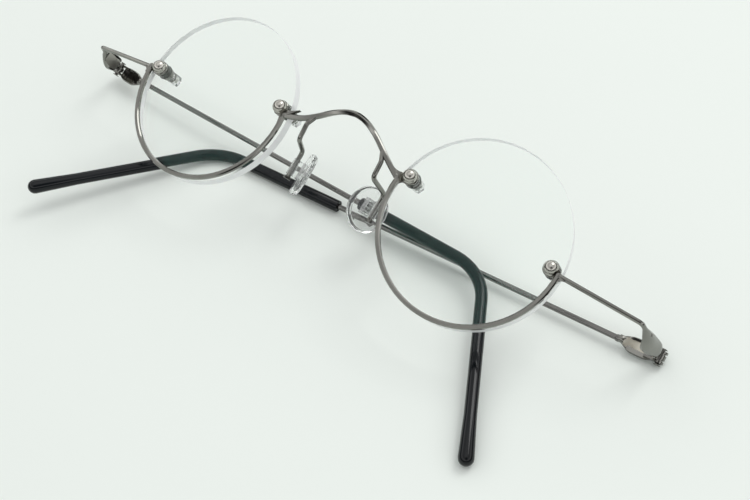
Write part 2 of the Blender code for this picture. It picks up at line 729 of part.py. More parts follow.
def build_front(parent, finish):
    """The one-piece front, joined from its half rims, bridge, arms, scoops and barrels."""
    front = finish_mesh("front_frame", bridge_mesh(), parent, finish)
    pin_reach = Vector((0.0, 0.0, PIN_CUT_REACH))
    for side in (LEFT, RIGHT):
        word = SIDE_NAMES[side]
        pieces = {
            "rim": rim_mesh(side),
            "temporal_neck": lug_neck_mesh(side, TEMPORAL_HOLE, TEMPORAL_JOINT),
            "nasal_neck": lug_neck_mesh(side, NASAL_HOLE, NASAL_JOINT),
            "temporal_joint": joint_mesh(side, TEMPORAL_JOINT),
            "nasal_joint": joint_mesh(side, NASAL_JOINT),
            "temporal_lug": lug_mesh(side, TEMPORAL_HOLE),
            "nasal_lug": lug_mesh(side, NASAL_HOLE),
            "end_piece": end_piece_mesh(side),
            "barrel": barrel_mesh(side),
            "pad_arm": pad_arm_mesh(side),
            "pad_foot": pad_foot_mesh(side),
            **corner_webs(side),
        }
        for label, mesh in pieces.items():
            tool = finish_mesh(f"join_{label}_{word}", mesh, parent, finish)
            boolean(front, tool, "UNION")
    for side in (LEFT, RIGHT):
        word = SIDE_NAMES[side]
        for label, hole in (("temporal", TEMPORAL_HOLE), ("nasal", NASAL_HOLE)):
            front_end = in_lens(side, hole[0], -HOLE_CUT_REACH, hole[1])
            back_end = in_lens(side, hole[0], BOSS_BACK + HOLE_CUT_REACH, hole[1])
            mesh = cylinder_between(front_end, back_end, SHANK_RADIUS + CLEARANCE)
            boolean(front, finish_mesh(f"cut_{label}_{word}", mesh, parent, finish), "DIFFERENCE")
        frame = hinge_frame(side)
        mesh = cylinder_between(frame @ -pin_reach, frame @ pin_reach, PIN_RADIUS + CLEARANCE)
        boolean(front, finish_mesh(f"cut_pin_{word}", mesh, parent, finish), "DIFFERENCE")
    return front


def lens_depths(radius):
    """Front and back surface depths of a lens at a distance from its centre."""
    fall = 1.0 - (radius / LENS_RADIUS) ** 2
    nearest = 1.0 - ((LENS_RADIUS - NASAL_HOLE_INSET - LUG_RADIUS) / LENS_RADIUS) ** 2
    front = LENS_FRONT + LENS_FRONT_BULGE * (nearest - fall)
    back = LENS_FRONT + LENS_EDGE_THICKNESS - LENS_BACK_HOLLOW * fall
    return front, back


def build_lens(side, carrier, finish):
    """One round lens with its two screw holes."""
    word = SIDE_NAMES[side]
    shares = (0.0, 0.4, 0.75, 1.0)
    profile = [(LENS_RADIUS * share, lens_depths(LENS_RADIUS * share)[0]) for share in shares]
    profile += [(LENS_RADIUS * share, lens_depths(LENS_RADIUS * share)[1]) for share in reversed(shares)]
    lens = finish_mesh(f"lens_{word}", turned(profile, LENS_SEGMENTS), carrier, finish)
    for label, hole in (("temporal", TEMPORAL_HOLE), ("nasal", NASAL_HOLE)):
        front_end = Vector((side * hole[0], 0.0, hole[1]))
        back_end = front_end + Vector((0.0, 2.0 * (LENS_FRONT + LENS_EDGE_THICKNESS), 0.0))
        mesh = cylinder_between(front_end, back_end, BOSS_RADIUS + CLEARANCE)
        boolean(lens, finish_mesh(f"drill_{label}_{word}", mesh, carrier, finish), "DIFFERENCE")
    return lens


def ball_screw_profile(shank_end):
    """Half section of a ball-headed screw, from the ball's front to the shank's end."""
    seat = LUG_FRONT - CLEARANCE
    steps = 7
    turns = [pi / 2.0 * step / steps for step in range(steps + 1)]
    profile = [(BALL_RADIUS * sin(turn), seat - BALL_RADIUS * cos(turn)) for turn in turns]
    easing = SHANK_RADIUS * 0.3
    profile.append((SHANK_RADIUS, seat))
    profile.append((SHANK_RADIUS, shank_end - easing))
    profile.append((SHANK_RADIUS - easing, shank_end))
    return profile


def build_screw_set(side, label, hole, carrier, finishes):
    """The ball screw, clear sleeve, hex nut and clear cap of one lens point."""
    word = SIDE_NAMES[side]
    bore = SHANK_RADIUS + CLEARANCE
    flange_front = LENS_FRONT + LENS_EDGE_THICKNESS + CLEARANCE
    flange_back = flange_front + SLEEVE_FLANGE_DEPTH
    sleeve_back = flange_front + SLEEVE_LENGTH
    nut_front = sleeve_back + CLEARANCE
    nut_back = nut_front + NUT_DEPTH
    cap_front = nut_back + CLEARANCE
    cap_back = cap_front + CAP_DEPTH
    cap_inside = cap_back - CAP_WALL
    cap_radius = CAP_ACROSS_CORNERS / 2.0
    place = Matrix.Translation((side * hole[0], 0.0, hole[1]))
    sleeve = [
        (bore, flange_front), (SLEEVE_FLANGE_RADIUS, flange_front), (SLEEVE_FLANGE_RADIUS, flange_back),
        (SLEEVE_RADIUS, flange_back), (SLEEVE_RADIUS, sleeve_back), (bore, sleeve_back),
    ]
    nut = [
        (bore, nut_front), (NUT_ACROSS_CORNERS / 2.0, nut_front),
        (NUT_ACROSS_CORNERS / 2.0, nut_back), (bore, nut_back),
    ]
    cap = [
        (0.0, cap_inside), (bore, cap_inside), (bore, cap_front), (cap_radius, cap_front),
        (cap_radius, cap_back - CAP_ROUNDING), (cap_radius - CAP_ROUNDING, cap_back), (0.0, cap_back),
    ]
    made = {
        "ball_screw": (turned(ball_screw_profile(cap_inside - CLEARANCE), 16), finishes["bright"]),
        "clear_sleeve": (turned(sleeve, 18, hollow=True), finishes["nylon"]),
        "hex_nut": (hex_body(nut), finishes["metal"]),
        "end_cap": (hex_body(cap), finishes["nylon"]),
    }
    for name, (mesh, finish) in made.items():
        mesh.transform(place)
        finish_mesh(f"{name}_{label}_{word}", mesh, carrier, finish)


def hex_body(profile):
    """A turned body whose bore is round and whose outside has six flats."""
    sides = 18
    bore = SHANK_RADIUS + CLEARANCE
    rings = []
    for radius, depth in profile:
        if radius == 0.0:
            rings.append([Vector((0.0, depth, 0.0))])
            continue
        ring = []
        for step in range(sides):
            turn = 2.0 * pi * step / sides
            reach = radius
            if radius > bore + 1e-9:
                within = (turn % (pi / 3.0)) - pi / 6.0
                reach = radius * cos(pi / 6.0) / cos(within)
            ring.append(Vector((reach * cos(turn), depth, reach * sin(turn))))
        rings.append(ring)
    mesh = bmesh.new()
    rows = [[mesh.verts.new(point) for point in ring] for ring in rings]
    following = rows[1:] if len(rows[0]) == 1 else rows[1:] + rows[:1]
    for first, second in zip(rows, following):
        join_rows(mesh, first, second)
    return mesh


def build_nose_pad(side, pivot, finish):
    """A silicone pad: a crowned disc on a square stem that slides over the bar."""
    word = SIDE_NAMES[side]
    back = PAD_DISC_START + PAD_THICKNESS
    profile = [
        (0.0, PAD_DISC_START), (PAD_RADIUS * 0.82, PAD_DISC_START), (PAD_RADIUS * 0.95, PAD_DISC_START + 0.25 * MM),
        (PAD_RADIUS, PAD_DISC_START + 0.6 * MM), (PAD_RADIUS, PAD_DISC_START + 0.95 * MM),
        (PAD_RADIUS * 0.92, back - 0.25 * MM), (PAD_FLAT_RADIUS, back), (0.0, back),
    ]
    disc = turned(profile, 32)
    disc.transform(Matrix.Translation((0.0, 0.0, -PAD_CENTRE_DROP)))
    pad = finish_mesh(f"nose_pad_{word}", disc, pivot, finish)
    low = (-PAD_STEM_WIDTH / 2.0, -PAD_STEM_OUTER, PAD_STEM_BOTTOM)
    high = (PAD_STEM_WIDTH / 2.0, PAD_DISC_START + 0.4 * MM, PAD_STEM_TOP)
    stem = finish_mesh(f"join_stem_{word}", box_mesh(Matrix.Identity(4), low, high, 0.35 * MM), pivot, finish)
    boolean(pad, stem, "UNION")
    bore = cylinder_between(
        Vector((0.0, 0.0, PAD_STEM_BOTTOM - MM)), Vector((0.0, 0.0, PAD_STEM_TOP + MM)), PAD_ARM_RADIUS + CLEARANCE)
    boolean(pad, finish_mesh(f"bore_stem_{word}", bore, pivot, finish), "DIFFERENCE")
    return pad


def temple_path(side, start, end_trim):
    """A temple's middle line in its hinge frame, from one distance along it to near its tip."""
    droop = Vector((cos(WIRE_DROOP[side]), 0.0, -sin(WIRE_DROOP[side])))
    bend = droop * BEND_AT
    down = cos(TIP_TUCK[side])
    tip_direction = Vector((
        cos(TIP_BEND[side]) * down,
        side * sin(TIP_TUCK[side]),
        -sin(TIP_BEND[side]) * down,
    ))
    tip = bend + tip_direction * (TIP_DROP_LENGTH - end_trim)
    path = rounded_path([droop * start, bend, tip], BEND_RADIUS, 9)
    return [point + Vector((0.0, side * WIRE_INSET, -WIRE_DROP)) for point in path]


def spaced_path(path, spacing):
    """The path with its long straight runs divided."""
    divided = [path[0]]
    for first, second in zip(path, path[1:]):
        pieces = max(1, ceil((second - first).length / spacing))
        divided += [first.lerp(second, step / pieces) for step in range(1, pieces + 1)]
    return divided


def build_temple_wire(side, pivot, finish):
    """The springy round wire, with the thin end that goes into the temple's root."""
    shoulder = TEMPLE_SHELL[-1][0] + CLEARANCE
    path = temple_path(side, shoulder, WIRE_END_BEFORE_TIP)
    across = carried_across(path, Vector((0.0, 1.0, 0.0)))
    rings = sweep(path, round_section(WIRE_RADIUS, 12), across)
    back = (path[0] - path[1]).normalized() * TENON_LENGTH
    collar = [path[0] + (point - path[0]) * (TENON_RADIUS / WIRE_RADIUS) for point in rings[0]]
    tenon = [point + back for point in collar]
    return finish_mesh(f"temple_wire_{SIDE_NAMES[side]}", loft([tenon, collar] + rings), pivot, finish)


def build_temple_tip(side, pivot, finish):
    """The glossy sleeve on the wire's end: bored for the wire, with a rounded bulb."""
    outer_path = spaced_path(temple_path(side, TIP_START, 0.0), TIP_STATION_SPACING)
    total = sum((b - a).length for a, b in zip(outer_path, outer_path[1:]))
    sides = 14
    travelled = 0.0
    across = carried_across(outer_path, Vector((0.0, 1.0, 0.0)))
    outer = []
    for index, point in enumerate(outer_path):
        if index:
            travelled += (point - outer_path[index - 1]).length
        left = total - travelled
        swell = max(0.0, 1.0 - left / TIP_BULB_LENGTH)
        radius = TIP_RADIUS + (TIP_BULB_RADIUS - TIP_RADIUS) * swell
        outer.append(sweep_section(outer_path, across, index, round_section(radius, sides)))
    direction = (outer_path[-1] - outer_path[-2]).normalized()
    for step in (1, 2, 3):
        angle = pi / 2.0 * step / 4.0
        ring = sweep_section(outer_path, across, len(outer_path) - 1, round_section(TIP_BULB_RADIUS * cos(angle), sides))
        outer.append([point + direction * TIP_BULB_RADIUS * sin(angle) for point in ring])
    outer.append([outer_path[-1] + direction * TIP_BULB_RADIUS])
    bore_path = temple_path(side, TIP_START, WIRE_END_BEFORE_TIP - CLEARANCE)
    bore_across = carried_across(bore_path, Vector((0.0, 1.0, 0.0)))
    bore = sweep(bore_path, round_section(WIRE_RADIUS + CLEARANCE, sides), bore_across)
    mesh = bmesh.new()
    rings = [[bore_path[-1]]] + bore[::-1] + outer
    rows = [[mesh.verts.new(point) for point in ring] for ring in rings]
    for first, second in zip(rows, rows[1:]):
        join_rows(mesh, first, second)
    return finish_mesh(f"temple_tip_{SIDE_NAMES[side]}", mesh, pivot, finish)


def eye_mesh(side, up_sign):
    """One flat eye of the temple's root, above or below the front's barrel."""
    near = BARREL_HALF_HEIGHT + CLEARANCE
    outline = []
    steps = 10
    for step in range(steps + 1):
        turn = pi / 2.0 + pi * step / steps
        outline.append((EYE_RADIUS * cos(turn), EYE_RADIUS * sin(turn)))
    inset = side * TEMPLE_SHELL[1][1]
    outline += [(EYE_REACH, inset - EYE_RADIUS * 0.62), (EYE_REACH, inset + EYE_RADIUS * 0.62)]
    rings = [[Vector((x, y, up_sign * z)) for x, y in outline] for z in (near, near + EYE_THICKNESS)]
    return loft(rings)


def build_temple_root(side, pivot, finish):
    """The temple's root: a hollow shell with two eyes for the pin, drawn in to a collar for the wire."""
    word = SIDE_NAMES[side]
    rings = []
    for place, half_depth, half_height, hollow in shell_stations(TEMPLE_SHELL, 3):
        section = shell_section(round_point, half_depth, half_height, hollow, ROOT_LOWER_WALL)
        rings.append([Vector((place.x, side * (place.y - pair[0]), pair[1] - place.z)) for pair in section])
    root = finish_mesh(f"temple_root_{word}", loft(rings), pivot, finish)
    for label, up_sign in (("upper", 1.0), ("lower", -1.0)):
        tool = finish_mesh(f"join_{label}_eye_{word}", eye_mesh(side, up_sign), pivot, finish)
        boolean(root, tool, "UNION")
    reach = Vector((0.0, 0.0, PIN_CUT_REACH))
    pin_cut = cylinder_between(-reach, reach, PIN_RADIUS + CLEARANCE)
    boolean(root, finish_mesh(f"bore_eyes_{word}", pin_cut, pivot, finish), "DIFFERENCE")
    shoulder = TEMPLE_SHELL[-1][0] + CLEARANCE
    path = temple_path(side, shoulder, WIRE_END_BEFORE_TIP)
    ahead = (path[1] - path[0]).normalized()
    bore = cylinder_between(
        path[0] - ahead * (TENON_LENGTH + CLEARANCE), path[0] + ahead * CLEARANCE, TENON_RADIUS + CLEARANCE, 12)
    boolean(root, finish_mesh(f"bore_collar_{word}", bore, pivot, finish), "DIFFERENCE")
    return root


def build_hinge_pin(side, pivot, finish):
    """The riveted pin through the temple's eyes and the front's barrel."""
    seat = BARREL_HALF_HEIGHT + 2.0 * CLEARANCE + EYE_THICKNESS
    edge = PIN_HEAD_RADIUS * 0.75
    profile = [
        (0.0, -seat - PIN_HEAD_HEIGHT), (edge, -seat - PIN_HEAD_HEIGHT), (PIN_HEAD_RADIUS, -seat),
        (PIN_RADIUS, -seat), (PIN_RADIUS, seat), (PIN_HEAD_RADIUS, seat),
        (edge, seat + PIN_HEAD_HEIGHT), (0.0, seat + PIN_HEAD_HEIGHT),
    ]
    mesh = turned(profile, 16)
    mesh.transform(Matrix.Rotation(pi / 2.0, 4, "X"))
    return finish_mesh(f"hinge_pin_{SIDE_NAMES[side]}", mesh, pivot, finish)


def settle(carrier):
    """Lay the pair down: lowest point at Z = 0 and the box's middle over the origin."""
    lay = Matrix.Rotation(REST_ROLL, 4, "Y") @ Matrix.Rotation(REST_TILT - pi / 2.0, 4, "X")
    carrier.matrix_world = lay
    bpy.context.view_layer.update()
    graph = bpy.context.evaluated_depsgraph_get()
    corners = []
    for item in bpy.data.objects:
        if item.type != "MESH" or item.hide_render:
            continue
        evaluated = item.evaluated_get(graph)
        corners += [evaluated.matrix_world @ vertex.co for vertex in evaluated.data.vertices]
    low = Vector([min(point[axis] for point in corners) for axis in range(3)])
    high = Vector([max(point[axis] for point in corners) for axis in range(3)])
    middle = (low + high) / 2.0
    carrier.matrix_world = Matrix.Translation((-middle.x, -middle.y, -low.z)) @ lay
    bpy.context.view_layer.update()


def build():
    """Make every piece, then lay the pair down."""
    clear_scene()
    finishes = {
        "metal": material("gunmetal", (0.20, 0.19, 0.18), 0.32, 1.0),
        "bright": material("bright_steel", (0.55, 0.52, 0.47), 0.18, 1.0),
        "clear": material("clear_silicone", (0.82, 0.86, 0.84), 0.25, 0.0, 0.45),
        "nylon": material("clear_nylon", (0.88, 0.90, 0.88), 0.12, 0.0, 0.45),
        "lens": material("lens_glass", (0.90, 0.97, 0.94), 0.03, 0.0, 0.2),
        "tip": material("black_acetate", (0.012, 0.016, 0.020), 0.12, 0.0),
    }
    carrier = empty("resting_pose")
    build_front(carrier, finishes["metal"])
    for side in (LEFT, RIGHT):
        word = SIDE_NAMES[side]
        lens_carrier = empty(f"lens_plane_{word}", carrier, lens_plane(side))
        build_lens(side, lens_carrier, finishes["lens"])
        build_screw_set(side, "temporal", TEMPORAL_HOLE, lens_carrier, finishes)
        build_screw_set(side, "nasal", NASAL_HOLE, lens_carrier, finishes)
        pad_pivot = empty(f"pad_pivot_{word}", carrier, pad_frame(side))
        build_nose_pad(side, pad_pivot, finishes["clear"])
        hinge = empty(f"hinge_{word}", carrier, hinge_frame(side))
        build_hinge_pin(side, hinge, finishes["bright"])
        build_temple_root(side, hinge, finishes["metal"])
        build_temple_wire(side, hinge, finishes["metal"])
        build_temple_tip(side, hinge, finishes["tip"])
    settle(carrier)


build()
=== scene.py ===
"""Looks for the folded reading glasses.

Finishes, lens edges, screw sets, hinge details, shell linings, moulded pads, floor, light and camera.
Lengths are in metres, and the wearer's frame has X to the wearer's left, Y to the back and Z up.
"""
import json
from math import acos, cos, pi, radians, sin

import bmesh
import bpy
from mathutils import Matrix, Vector


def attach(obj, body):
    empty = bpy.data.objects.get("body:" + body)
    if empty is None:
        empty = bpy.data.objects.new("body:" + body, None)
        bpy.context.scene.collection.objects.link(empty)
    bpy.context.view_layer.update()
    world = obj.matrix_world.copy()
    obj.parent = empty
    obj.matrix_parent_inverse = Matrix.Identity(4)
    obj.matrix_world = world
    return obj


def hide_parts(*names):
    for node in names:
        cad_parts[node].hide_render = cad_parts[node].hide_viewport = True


MM = 0.001

# The wearer's sides, as in the solids: left is towards +X
LEFT = 1
RIGHT = -1
SIDE_NAMES = {LEFT: "left", RIGHT: "right"}

# The gap that the solids keep between neighbours
CLEARANCE = 0.3 * MM

# How the pair lies, as in the solids
REST_TILT = radians(28.44)
REST_ROLL = radians(0.64)
HINGE_OUT = 65.15 * MM
HINGE_BACK = 16.25 * MM
HINGE_DROP = 2.1 * MM
HINGE_LEAN = radians(2.0)
FOLD_ANGLE = {LEFT: radians(90.5), RIGHT: radians(91.7)}

# Lenses, as in the solids
LENS_SPACING = 60.0 * MM
LENS_RADIUS = 17.15 * MM
FACE_WRAP = radians(4.3)
FRONT_TWIST = radians(1.0)

# The two screw points of a lens, as in the solids: reach and angle from the lens's centre
SCREW_POINTS = {
    "temporal": (LENS_RADIUS - 2.05 * MM, radians(1.7)),
    "nasal": (LENS_RADIUS - 1.85 * MM, radians(166.8)),
}

# Depths of the screw sets behind the rim's middle plane, as in the solids
LUG_FRONT = 0.4 * MM
LUG_BACK = 0.9 * MM
LENS_BACK = 3.06 * MM
NUT_FRONT = 5.2 * MM
NUT_BACK = 5.6 * MM
SHANK_END = 6.9 * MM
CAP_BACK = 7.6 * MM

# Ball heads and shanks
BALL_RADIUS = 1.36 * MM
BALL_CENTRE = 0.1 * MM
BALL_STEPS = 18
BALL_SEGMENTS = 48
SHANK_RADIUS = 0.5 * MM
SHANK_FIT = 0.52 * MM
SHANK_EASE = 0.3 * SHANK_RADIUS

# Collars in the lens holes, and washers and sleeves behind the lenses
BOSS_RADIUS = 1.1 * MM
COLLAR_RADIUS = 1.36 * MM
COLLAR_SEGMENTS = 40
WASHER_BACK = 4.06 * MM
FLANGE_RADIUS = 1.3 * MM
SLEEVE_RADIUS = 1.15 * MM
EDGE_EASE = 0.05 * MM

# Caps: the rounding is the inset from the cap's radius and the distance before its back
CAP_RADIUS = 1.2 * MM
CAP_ROOM = 0.04 * MM
CAP_ROUNDING = ((0.0, 0.35 * MM), (0.1 * MM, 0.12 * MM), (0.3 * MM, 0.0))

# Six-sided sleeves and caps: everything wider than the bore gets the flats
FLATS = 6
FLATS_FROM = SHANK_FIT * 1.01
FLAT_SEGMENTS = 36

# Hinge washers between the barrel and the eyes, which stand where the solids have them
BARREL_HALF_HEIGHT = 0.42 * MM
EYE_NEAR = BARREL_HALF_HEIGHT + CLEARANCE
PIN_RADIUS = 0.36 * MM
HINGE_WASHER_RADIUS = 0.7 * MM
HINGE_WASHER_SEGMENTS = 32

# Temple wires, as in the solids
ROOT_END = 7.6 * MM
WIRE_RADIUS = 0.52 * MM
WIRE_INSET = 0.4 * MM
WIRE_DROP = 0.15 * MM
WIRE_DROOP = {LEFT: radians(1.0), RIGHT: radians(-1.0)}
TIP_START = 67.5 * MM
TIP_BORE = WIRE_RADIUS + CLEARANCE

# The ferrule where a wire leaves its root: radius and distance along the wire
FERRULE_PLACE = ROOT_END + CLEARANCE
FERRULE_PROFILE = (
    (0.0, -0.32 * MM), (0.66 * MM, -0.32 * MM), (0.66 * MM, 0.1 * MM),
    (0.6 * MM, 0.28 * MM), (WIRE_RADIUS, 0.34 * MM), (0.0, 0.34 * MM),
)

# The dished ring in the mouth of a tip, between the tip's bore and the wire
MOUTH_RADIUS = TIP_BORE - 0.02 * MM
MOUTH_START = 0.02 * MM
MOUTH_DISH = 0.12 * MM
MOUTH_END = 0.5 * MM

# The rivet mark on an end shell, in its hinge's axes: ahead, away from the head, up
RIVET_PLACE = (1.39 * MM, 7.94 * MM, 1.71 * MM)
RIVET_RADIUS = 0.34 * MM

# The rivet mark's profile: share of its radius, depth under the shell's surface
RIVET_PROFILE = (
    (0.0, -0.05 * MM), (0.3, -0.02 * MM), (0.62, -0.1 * MM),
    (0.9, -0.08 * MM), (1.0, 0.06 * MM), (0.0, 0.06 * MM),
)
SMALL_SEGMENTS = 24

# Hollow end shells, as in the solids: distance before the pin, drop, half depth, half height, hollowness
END_SHELL = (
    (8.8 * MM, 0.35 * MM, 0.8 * MM, 1.15 * MM, 0.6),
    (6.8 * MM, 0.5 * MM, 1.15 * MM, 1.8 * MM, 1.0),
    (4.6 * MM, 0.25 * MM, 1.15 * MM, 1.8 * MM, 1.0),
    (2.8 * MM, -0.1 * MM, 0.95 * MM, 1.5 * MM, 1.0),
    (1.95 * MM, -0.1 * MM, 0.7 * MM, 1.15 * MM, 0.7),
)
ARM_CORNER = (32.5 * MM, 1.9 * MM, -0.62 * MM)
ARM_HALF_DEPTH = 0.43 * MM
SHELL_BULGE = 0.35 * MM

# Linings: how far round the end shells they reach, and how much of a shell's section they fill
SHELL_REACH = radians(112.0)
LINING_FILL = 0.8
LINING_STEPS = 10

# Linings of the temple roots: distance from the pin, inset, drop, half depth, half height, reach round
ROOT_LINING = (
    (1.12 * MM, -0.12 * MM, 0.03 * MM, 0.6 * MM, 1.1 * MM, radians(78.0)),
    (2.0 * MM, -0.05 * MM, 0.1 * MM, 0.78 * MM, 1.4 * MM, radians(78.0)),
    (2.6 * MM, 0.02 * MM, 0.15 * MM, 0.87 * MM, 1.5 * MM, radians(78.0)),
    (4.0 * MM, 0.2 * MM, 0.2 * MM, 0.95 * MM, 1.55 * MM, radians(78.0)),
    (5.2 * MM, 0.3 * MM, 0.25 * MM, 0.9 * MM, 1.45 * MM, radians(84.0)),
    (6.2 * MM, 0.37 * MM, 0.21 * MM, 0.82 * MM, 1.15 * MM, radians(122.0)),
    (6.95 * MM, 0.4 * MM, 0.16 * MM, 0.74 * MM, 0.76 * MM, radians(132.0)),
)

# Nose pads, as in the solids
PAD_BAR_OUT = 9.6 * MM
PAD_BAR_BACK = 5.3 * MM
PAD_SPLAY = radians(32.0)
PAD_RADIUS = 4.4 * MM
PAD_FRONT = 1.8 * MM
PAD_BACK = 3.4 * MM
PAD_CENTRE_DROP = 4.6 * MM
STEM_TOP = -2.7 * MM
STEM_BOTTOM = -5.9 * MM

# The crown of a pad's disc: inset from its radius, distance before its back
PAD_CROWN = (
    (PAD_RADIUS, 0.0), (1.6 * MM, 0.04 * MM), (0.8 * MM, 0.16 * MM),
    (0.3 * MM, 0.4 * MM), (0.06 * MM, 0.75 * MM), (0.0, 1.1 * MM),
)

# The raised rim in front of a pad's disc and the thin plate in it: inset, distance behind the front
PAD_RIM = (
    (0.06 * MM, 0.1 * MM), (0.25 * MM, -0.1 * MM), (0.5 * MM, -0.12 * MM), (0.72 * MM, 0.06 * MM),
    (0.8 * MM, 0.5 * MM), (1.0 * MM, 0.62 * MM), (PAD_RADIUS, 0.62 * MM),
)
DISC_SEGMENTS = 64

# The clear sleeve round a pad's bar, and the web that joins it to the plate
BAR_FIT = 0.48 * MM
SLEEVE_WALL_RADIUS = 0.74 * MM
SLEEVE_EASE = 0.07 * MM
WEB_HALF_WIDTH = 0.3 * MM
WEB_SINK = 0.2 * MM
KEYHOLE_STEPS = 48

# The ribbed plate in front of a pad's disc
PLATE_HALF_WIDTH = 1.45 * MM
PLATE_FRONT = 1.25 * MM
PLATE_BACK = 2.5 * MM
PLATE_RIBS = 4
RAIL = 0.26 * MM
RAIL_CUT = 0.05 * MM
RIB_HEIGHT = RAIL * 0.8
RIB_LAP = RAIL * 0.5
RIB_STEP_BACK = 0.1 * MM

# Edges of the pieces and of the CAD nodes
WELD_DISTANCE = 0.001 * MM
BEVEL_SEGMENTS = 2
BEVEL_ANGLE = radians(32.0)
CRISP_ANGLE = radians(30.0)

# Metal finishes: material, darkest and lightest colour, least and greatest roughness, strength of the grain
METAL_FINISHES = {
    "gunmetal": ("gunmetal_plate", (0.205, 0.204, 0.188), (0.262, 0.26, 0.24), (0.08, 0.16), 0.06),
    "wire": ("gunmetal_wire", (0.17, 0.168, 0.16), (0.22, 0.217, 0.207), (0.05, 0.10), 0.03),
    # These three are painted light and shade on the gunmetal insides of the hinges: painted shade for the
    # right root, painted light for the shells and for the left root
    "dark": ("shaded_gunmetal", (0.05, 0.048, 0.045), (0.08, 0.077, 0.072), (0.2, 0.3), 0.05),
    "leaf": ("painted_lit_shell_inside", (0.36, 0.35, 0.32), (0.44, 0.425, 0.39), (0.35, 0.45), 0.05),
    "painted_lit_root": ("painted_lit_root_inside", (0.70, 0.67, 0.575), (0.82, 0.79, 0.69), (0.25, 0.4), 0.03),
    "bright": ("bright_steel_polish", (0.42, 0.41, 0.375), (0.52, 0.505, 0.465), (0.16, 0.24), 0.02),
}
METAL_DRIFT_SCALE = 180.0
GRAIN_SCALE = 2600.0
GRAIN_DETAIL = 3.0
GRAIN_STRETCH = (1.0, 0.25, 1.0)
GRAIN_DEPTH = 0.01 * MM

# Clear finishes: material, colour, least and greatest roughness, strength and scale of the marks, clearness
CLEAR_FINISHES = {
    "nylon": ("clear_nylon_gloss", (0.95, 0.965, 0.96), (0.04, 0.08), 0.04, 600.0, 0.88),
    "silicone": ("clear_silicone_soft", (0.98, 0.99, 0.985), (0.04, 0.08), 0.04, 400.0, 0.95),
    "ribs": ("clear_silicone_ribs", (0.98, 0.99, 0.985), (0.1, 0.16), 0.05, 400.0, 0.76),
}
CLEAR_IOR = 1.3
MARK_DEPTH = 0.05 * MM

# The tips' glossy near-black plastic
TIP_DARK = (0.003, 0.004, 0.005)
TIP_LIGHT = (0.006, 0.008, 0.010)
TIP_DRIFT_SCALE = 90.0
TIP_FINE_SCALE = 700.0
TIP_ROUGHNESS = (0.06, 0.14)
TIP_SPECULAR = 0.3
TIP_RELIEF = 0.05
TIP_RELIEF_DEPTH = 0.02 * MM

# The lenses' clear faces, and their pale ground edge from one distance from the middle to the other
LENS_IOR = 1.25
LENS_TINT = (0.3, 1.0, 0.8)
LENS_COLOUR = (0.985, 0.995, 0.99)
EDGE_COLOUR = (0.90, 0.90, 0.915)
EDGE_ROUGHNESS = 0.3
EDGE_CLEARNESS = 0.25
EDGE_FROM = LENS_RADIUS - 0.08 * MM
EDGE_TO = LENS_RADIUS - 0.03 * MM

# Painted shade on the sides of the lens holes, which the collars stand in: dark like the metal seen through
# the glass
HOLE_SHADE_COLOUR = (0.09, 0.087, 0.08)
HOLE_SHADE_FROM = COLLAR_RADIUS + 0.1 * MM
HOLE_SHADE_TO = COLLAR_RADIUS + 0.14 * MM

# Finish and rounding of the CAD nodes by the start of their names; a lens has its own, the rest is gunmetal
NODE_FINISHES = {
    "ball_screw": ("bright", 0.0),
    "clear_sleeve": ("nylon", 0.0),
    "end_cap": ("nylon", 0.0),
    "nose_pad": ("silicone", 0.0),
    "temple_tip": ("tip", 0.08 * MM),
    "temple_wire": ("wire", 0.0),
    "hinge_pin": ("gunmetal", 0.04 * MM),
}

# The photograph's camera, in the wearer's frame
CAMERA_PLACE = Vector((106.79, -197.48, -27.35)) * MM
CAMERA_LOOK = Vector((-0.416, 0.906, 0.075))
CAMERA_UP = Vector((-0.439, -0.273, 0.856))
CAMERA_LENS = 59.66
CAMERA_SENSOR = 36.0
CAMERA_NEAR = 5.0 * MM

# The pale table top
FLOOR_SIZE = 6.0
FLOOR_COLOUR = (0.835, 0.885, 0.845)
FLOOR_SHADE = 0.985
FLOOR_NOISE_SCALE = 8.0
FLOOR_ROUGHNESS = 0.65
FLOOR_SPECULAR = 0.25

# The room's brightness, from level (0) to straight up (1)
ROOM_BANDS = (
    (0.0, 0.04), (0.2, 0.06), (0.3, 0.4), (0.4, 1.3), (0.5, 1.5),
    (0.65, 0.8), (0.78, 0.62), (0.9, 0.8), (1.0, 1.1),
)
ROOM_STRENGTH = 1.04

# The shade where the viewer stands
VIEWER_DIRECTION = Vector((0.416, -0.497, 0.761))
VIEWER_SPREAD = radians(24.0)
VIEWER_CORE = radians(12.0)
VIEWER_SHADE = 0.12

# The window light
WINDOW_PLACE = Vector((0.12, 0.62, 0.8))
WINDOW_SIZE = 0.45
WINDOW_ENERGY = 2.4
WINDOW_COLOUR = (1.0, 1.0, 0.99)


def resting_matrix(joints):
    """The wearer's frame in the world, from how the pair lies and where the left hinge is."""
    turn = Matrix.Rotation(REST_ROLL, 3, "Y") @ Matrix.Rotation(REST_TILT - pi / 2.0, 3, "X")
    hinge = next(joint for joint in joints if joint["name"] == "temple_hinge_left")
    place = Vector(hinge["pos_m"]) - turn @ Vector((HINGE_OUT, HINGE_BACK, -HINGE_DROP))
    return Matrix.Translation(place) @ turn.to_4x4()


def lens_plane(side):
    """The frame of one lens in the wearer's frame: X to the wearer's left, and Y back, square to the lens."""
    place = Matrix.Translation((side * LENS_SPACING / 2.0, 0.0, 0.0))
    return place @ Matrix.Rotation(side * FACE_WRAP, 4, "Z") @ Matrix.Rotation(-FRONT_TWIST, 4, "Y")


def screw_frame(side, label):
    """The frame of one screw: its Y runs back along the screw."""
    reach, angle = SCREW_POINTS[label]
    place = Matrix.Translation((side * reach * cos(angle), 0.0, reach * sin(angle)))
    return resting @ lens_plane(side) @ place


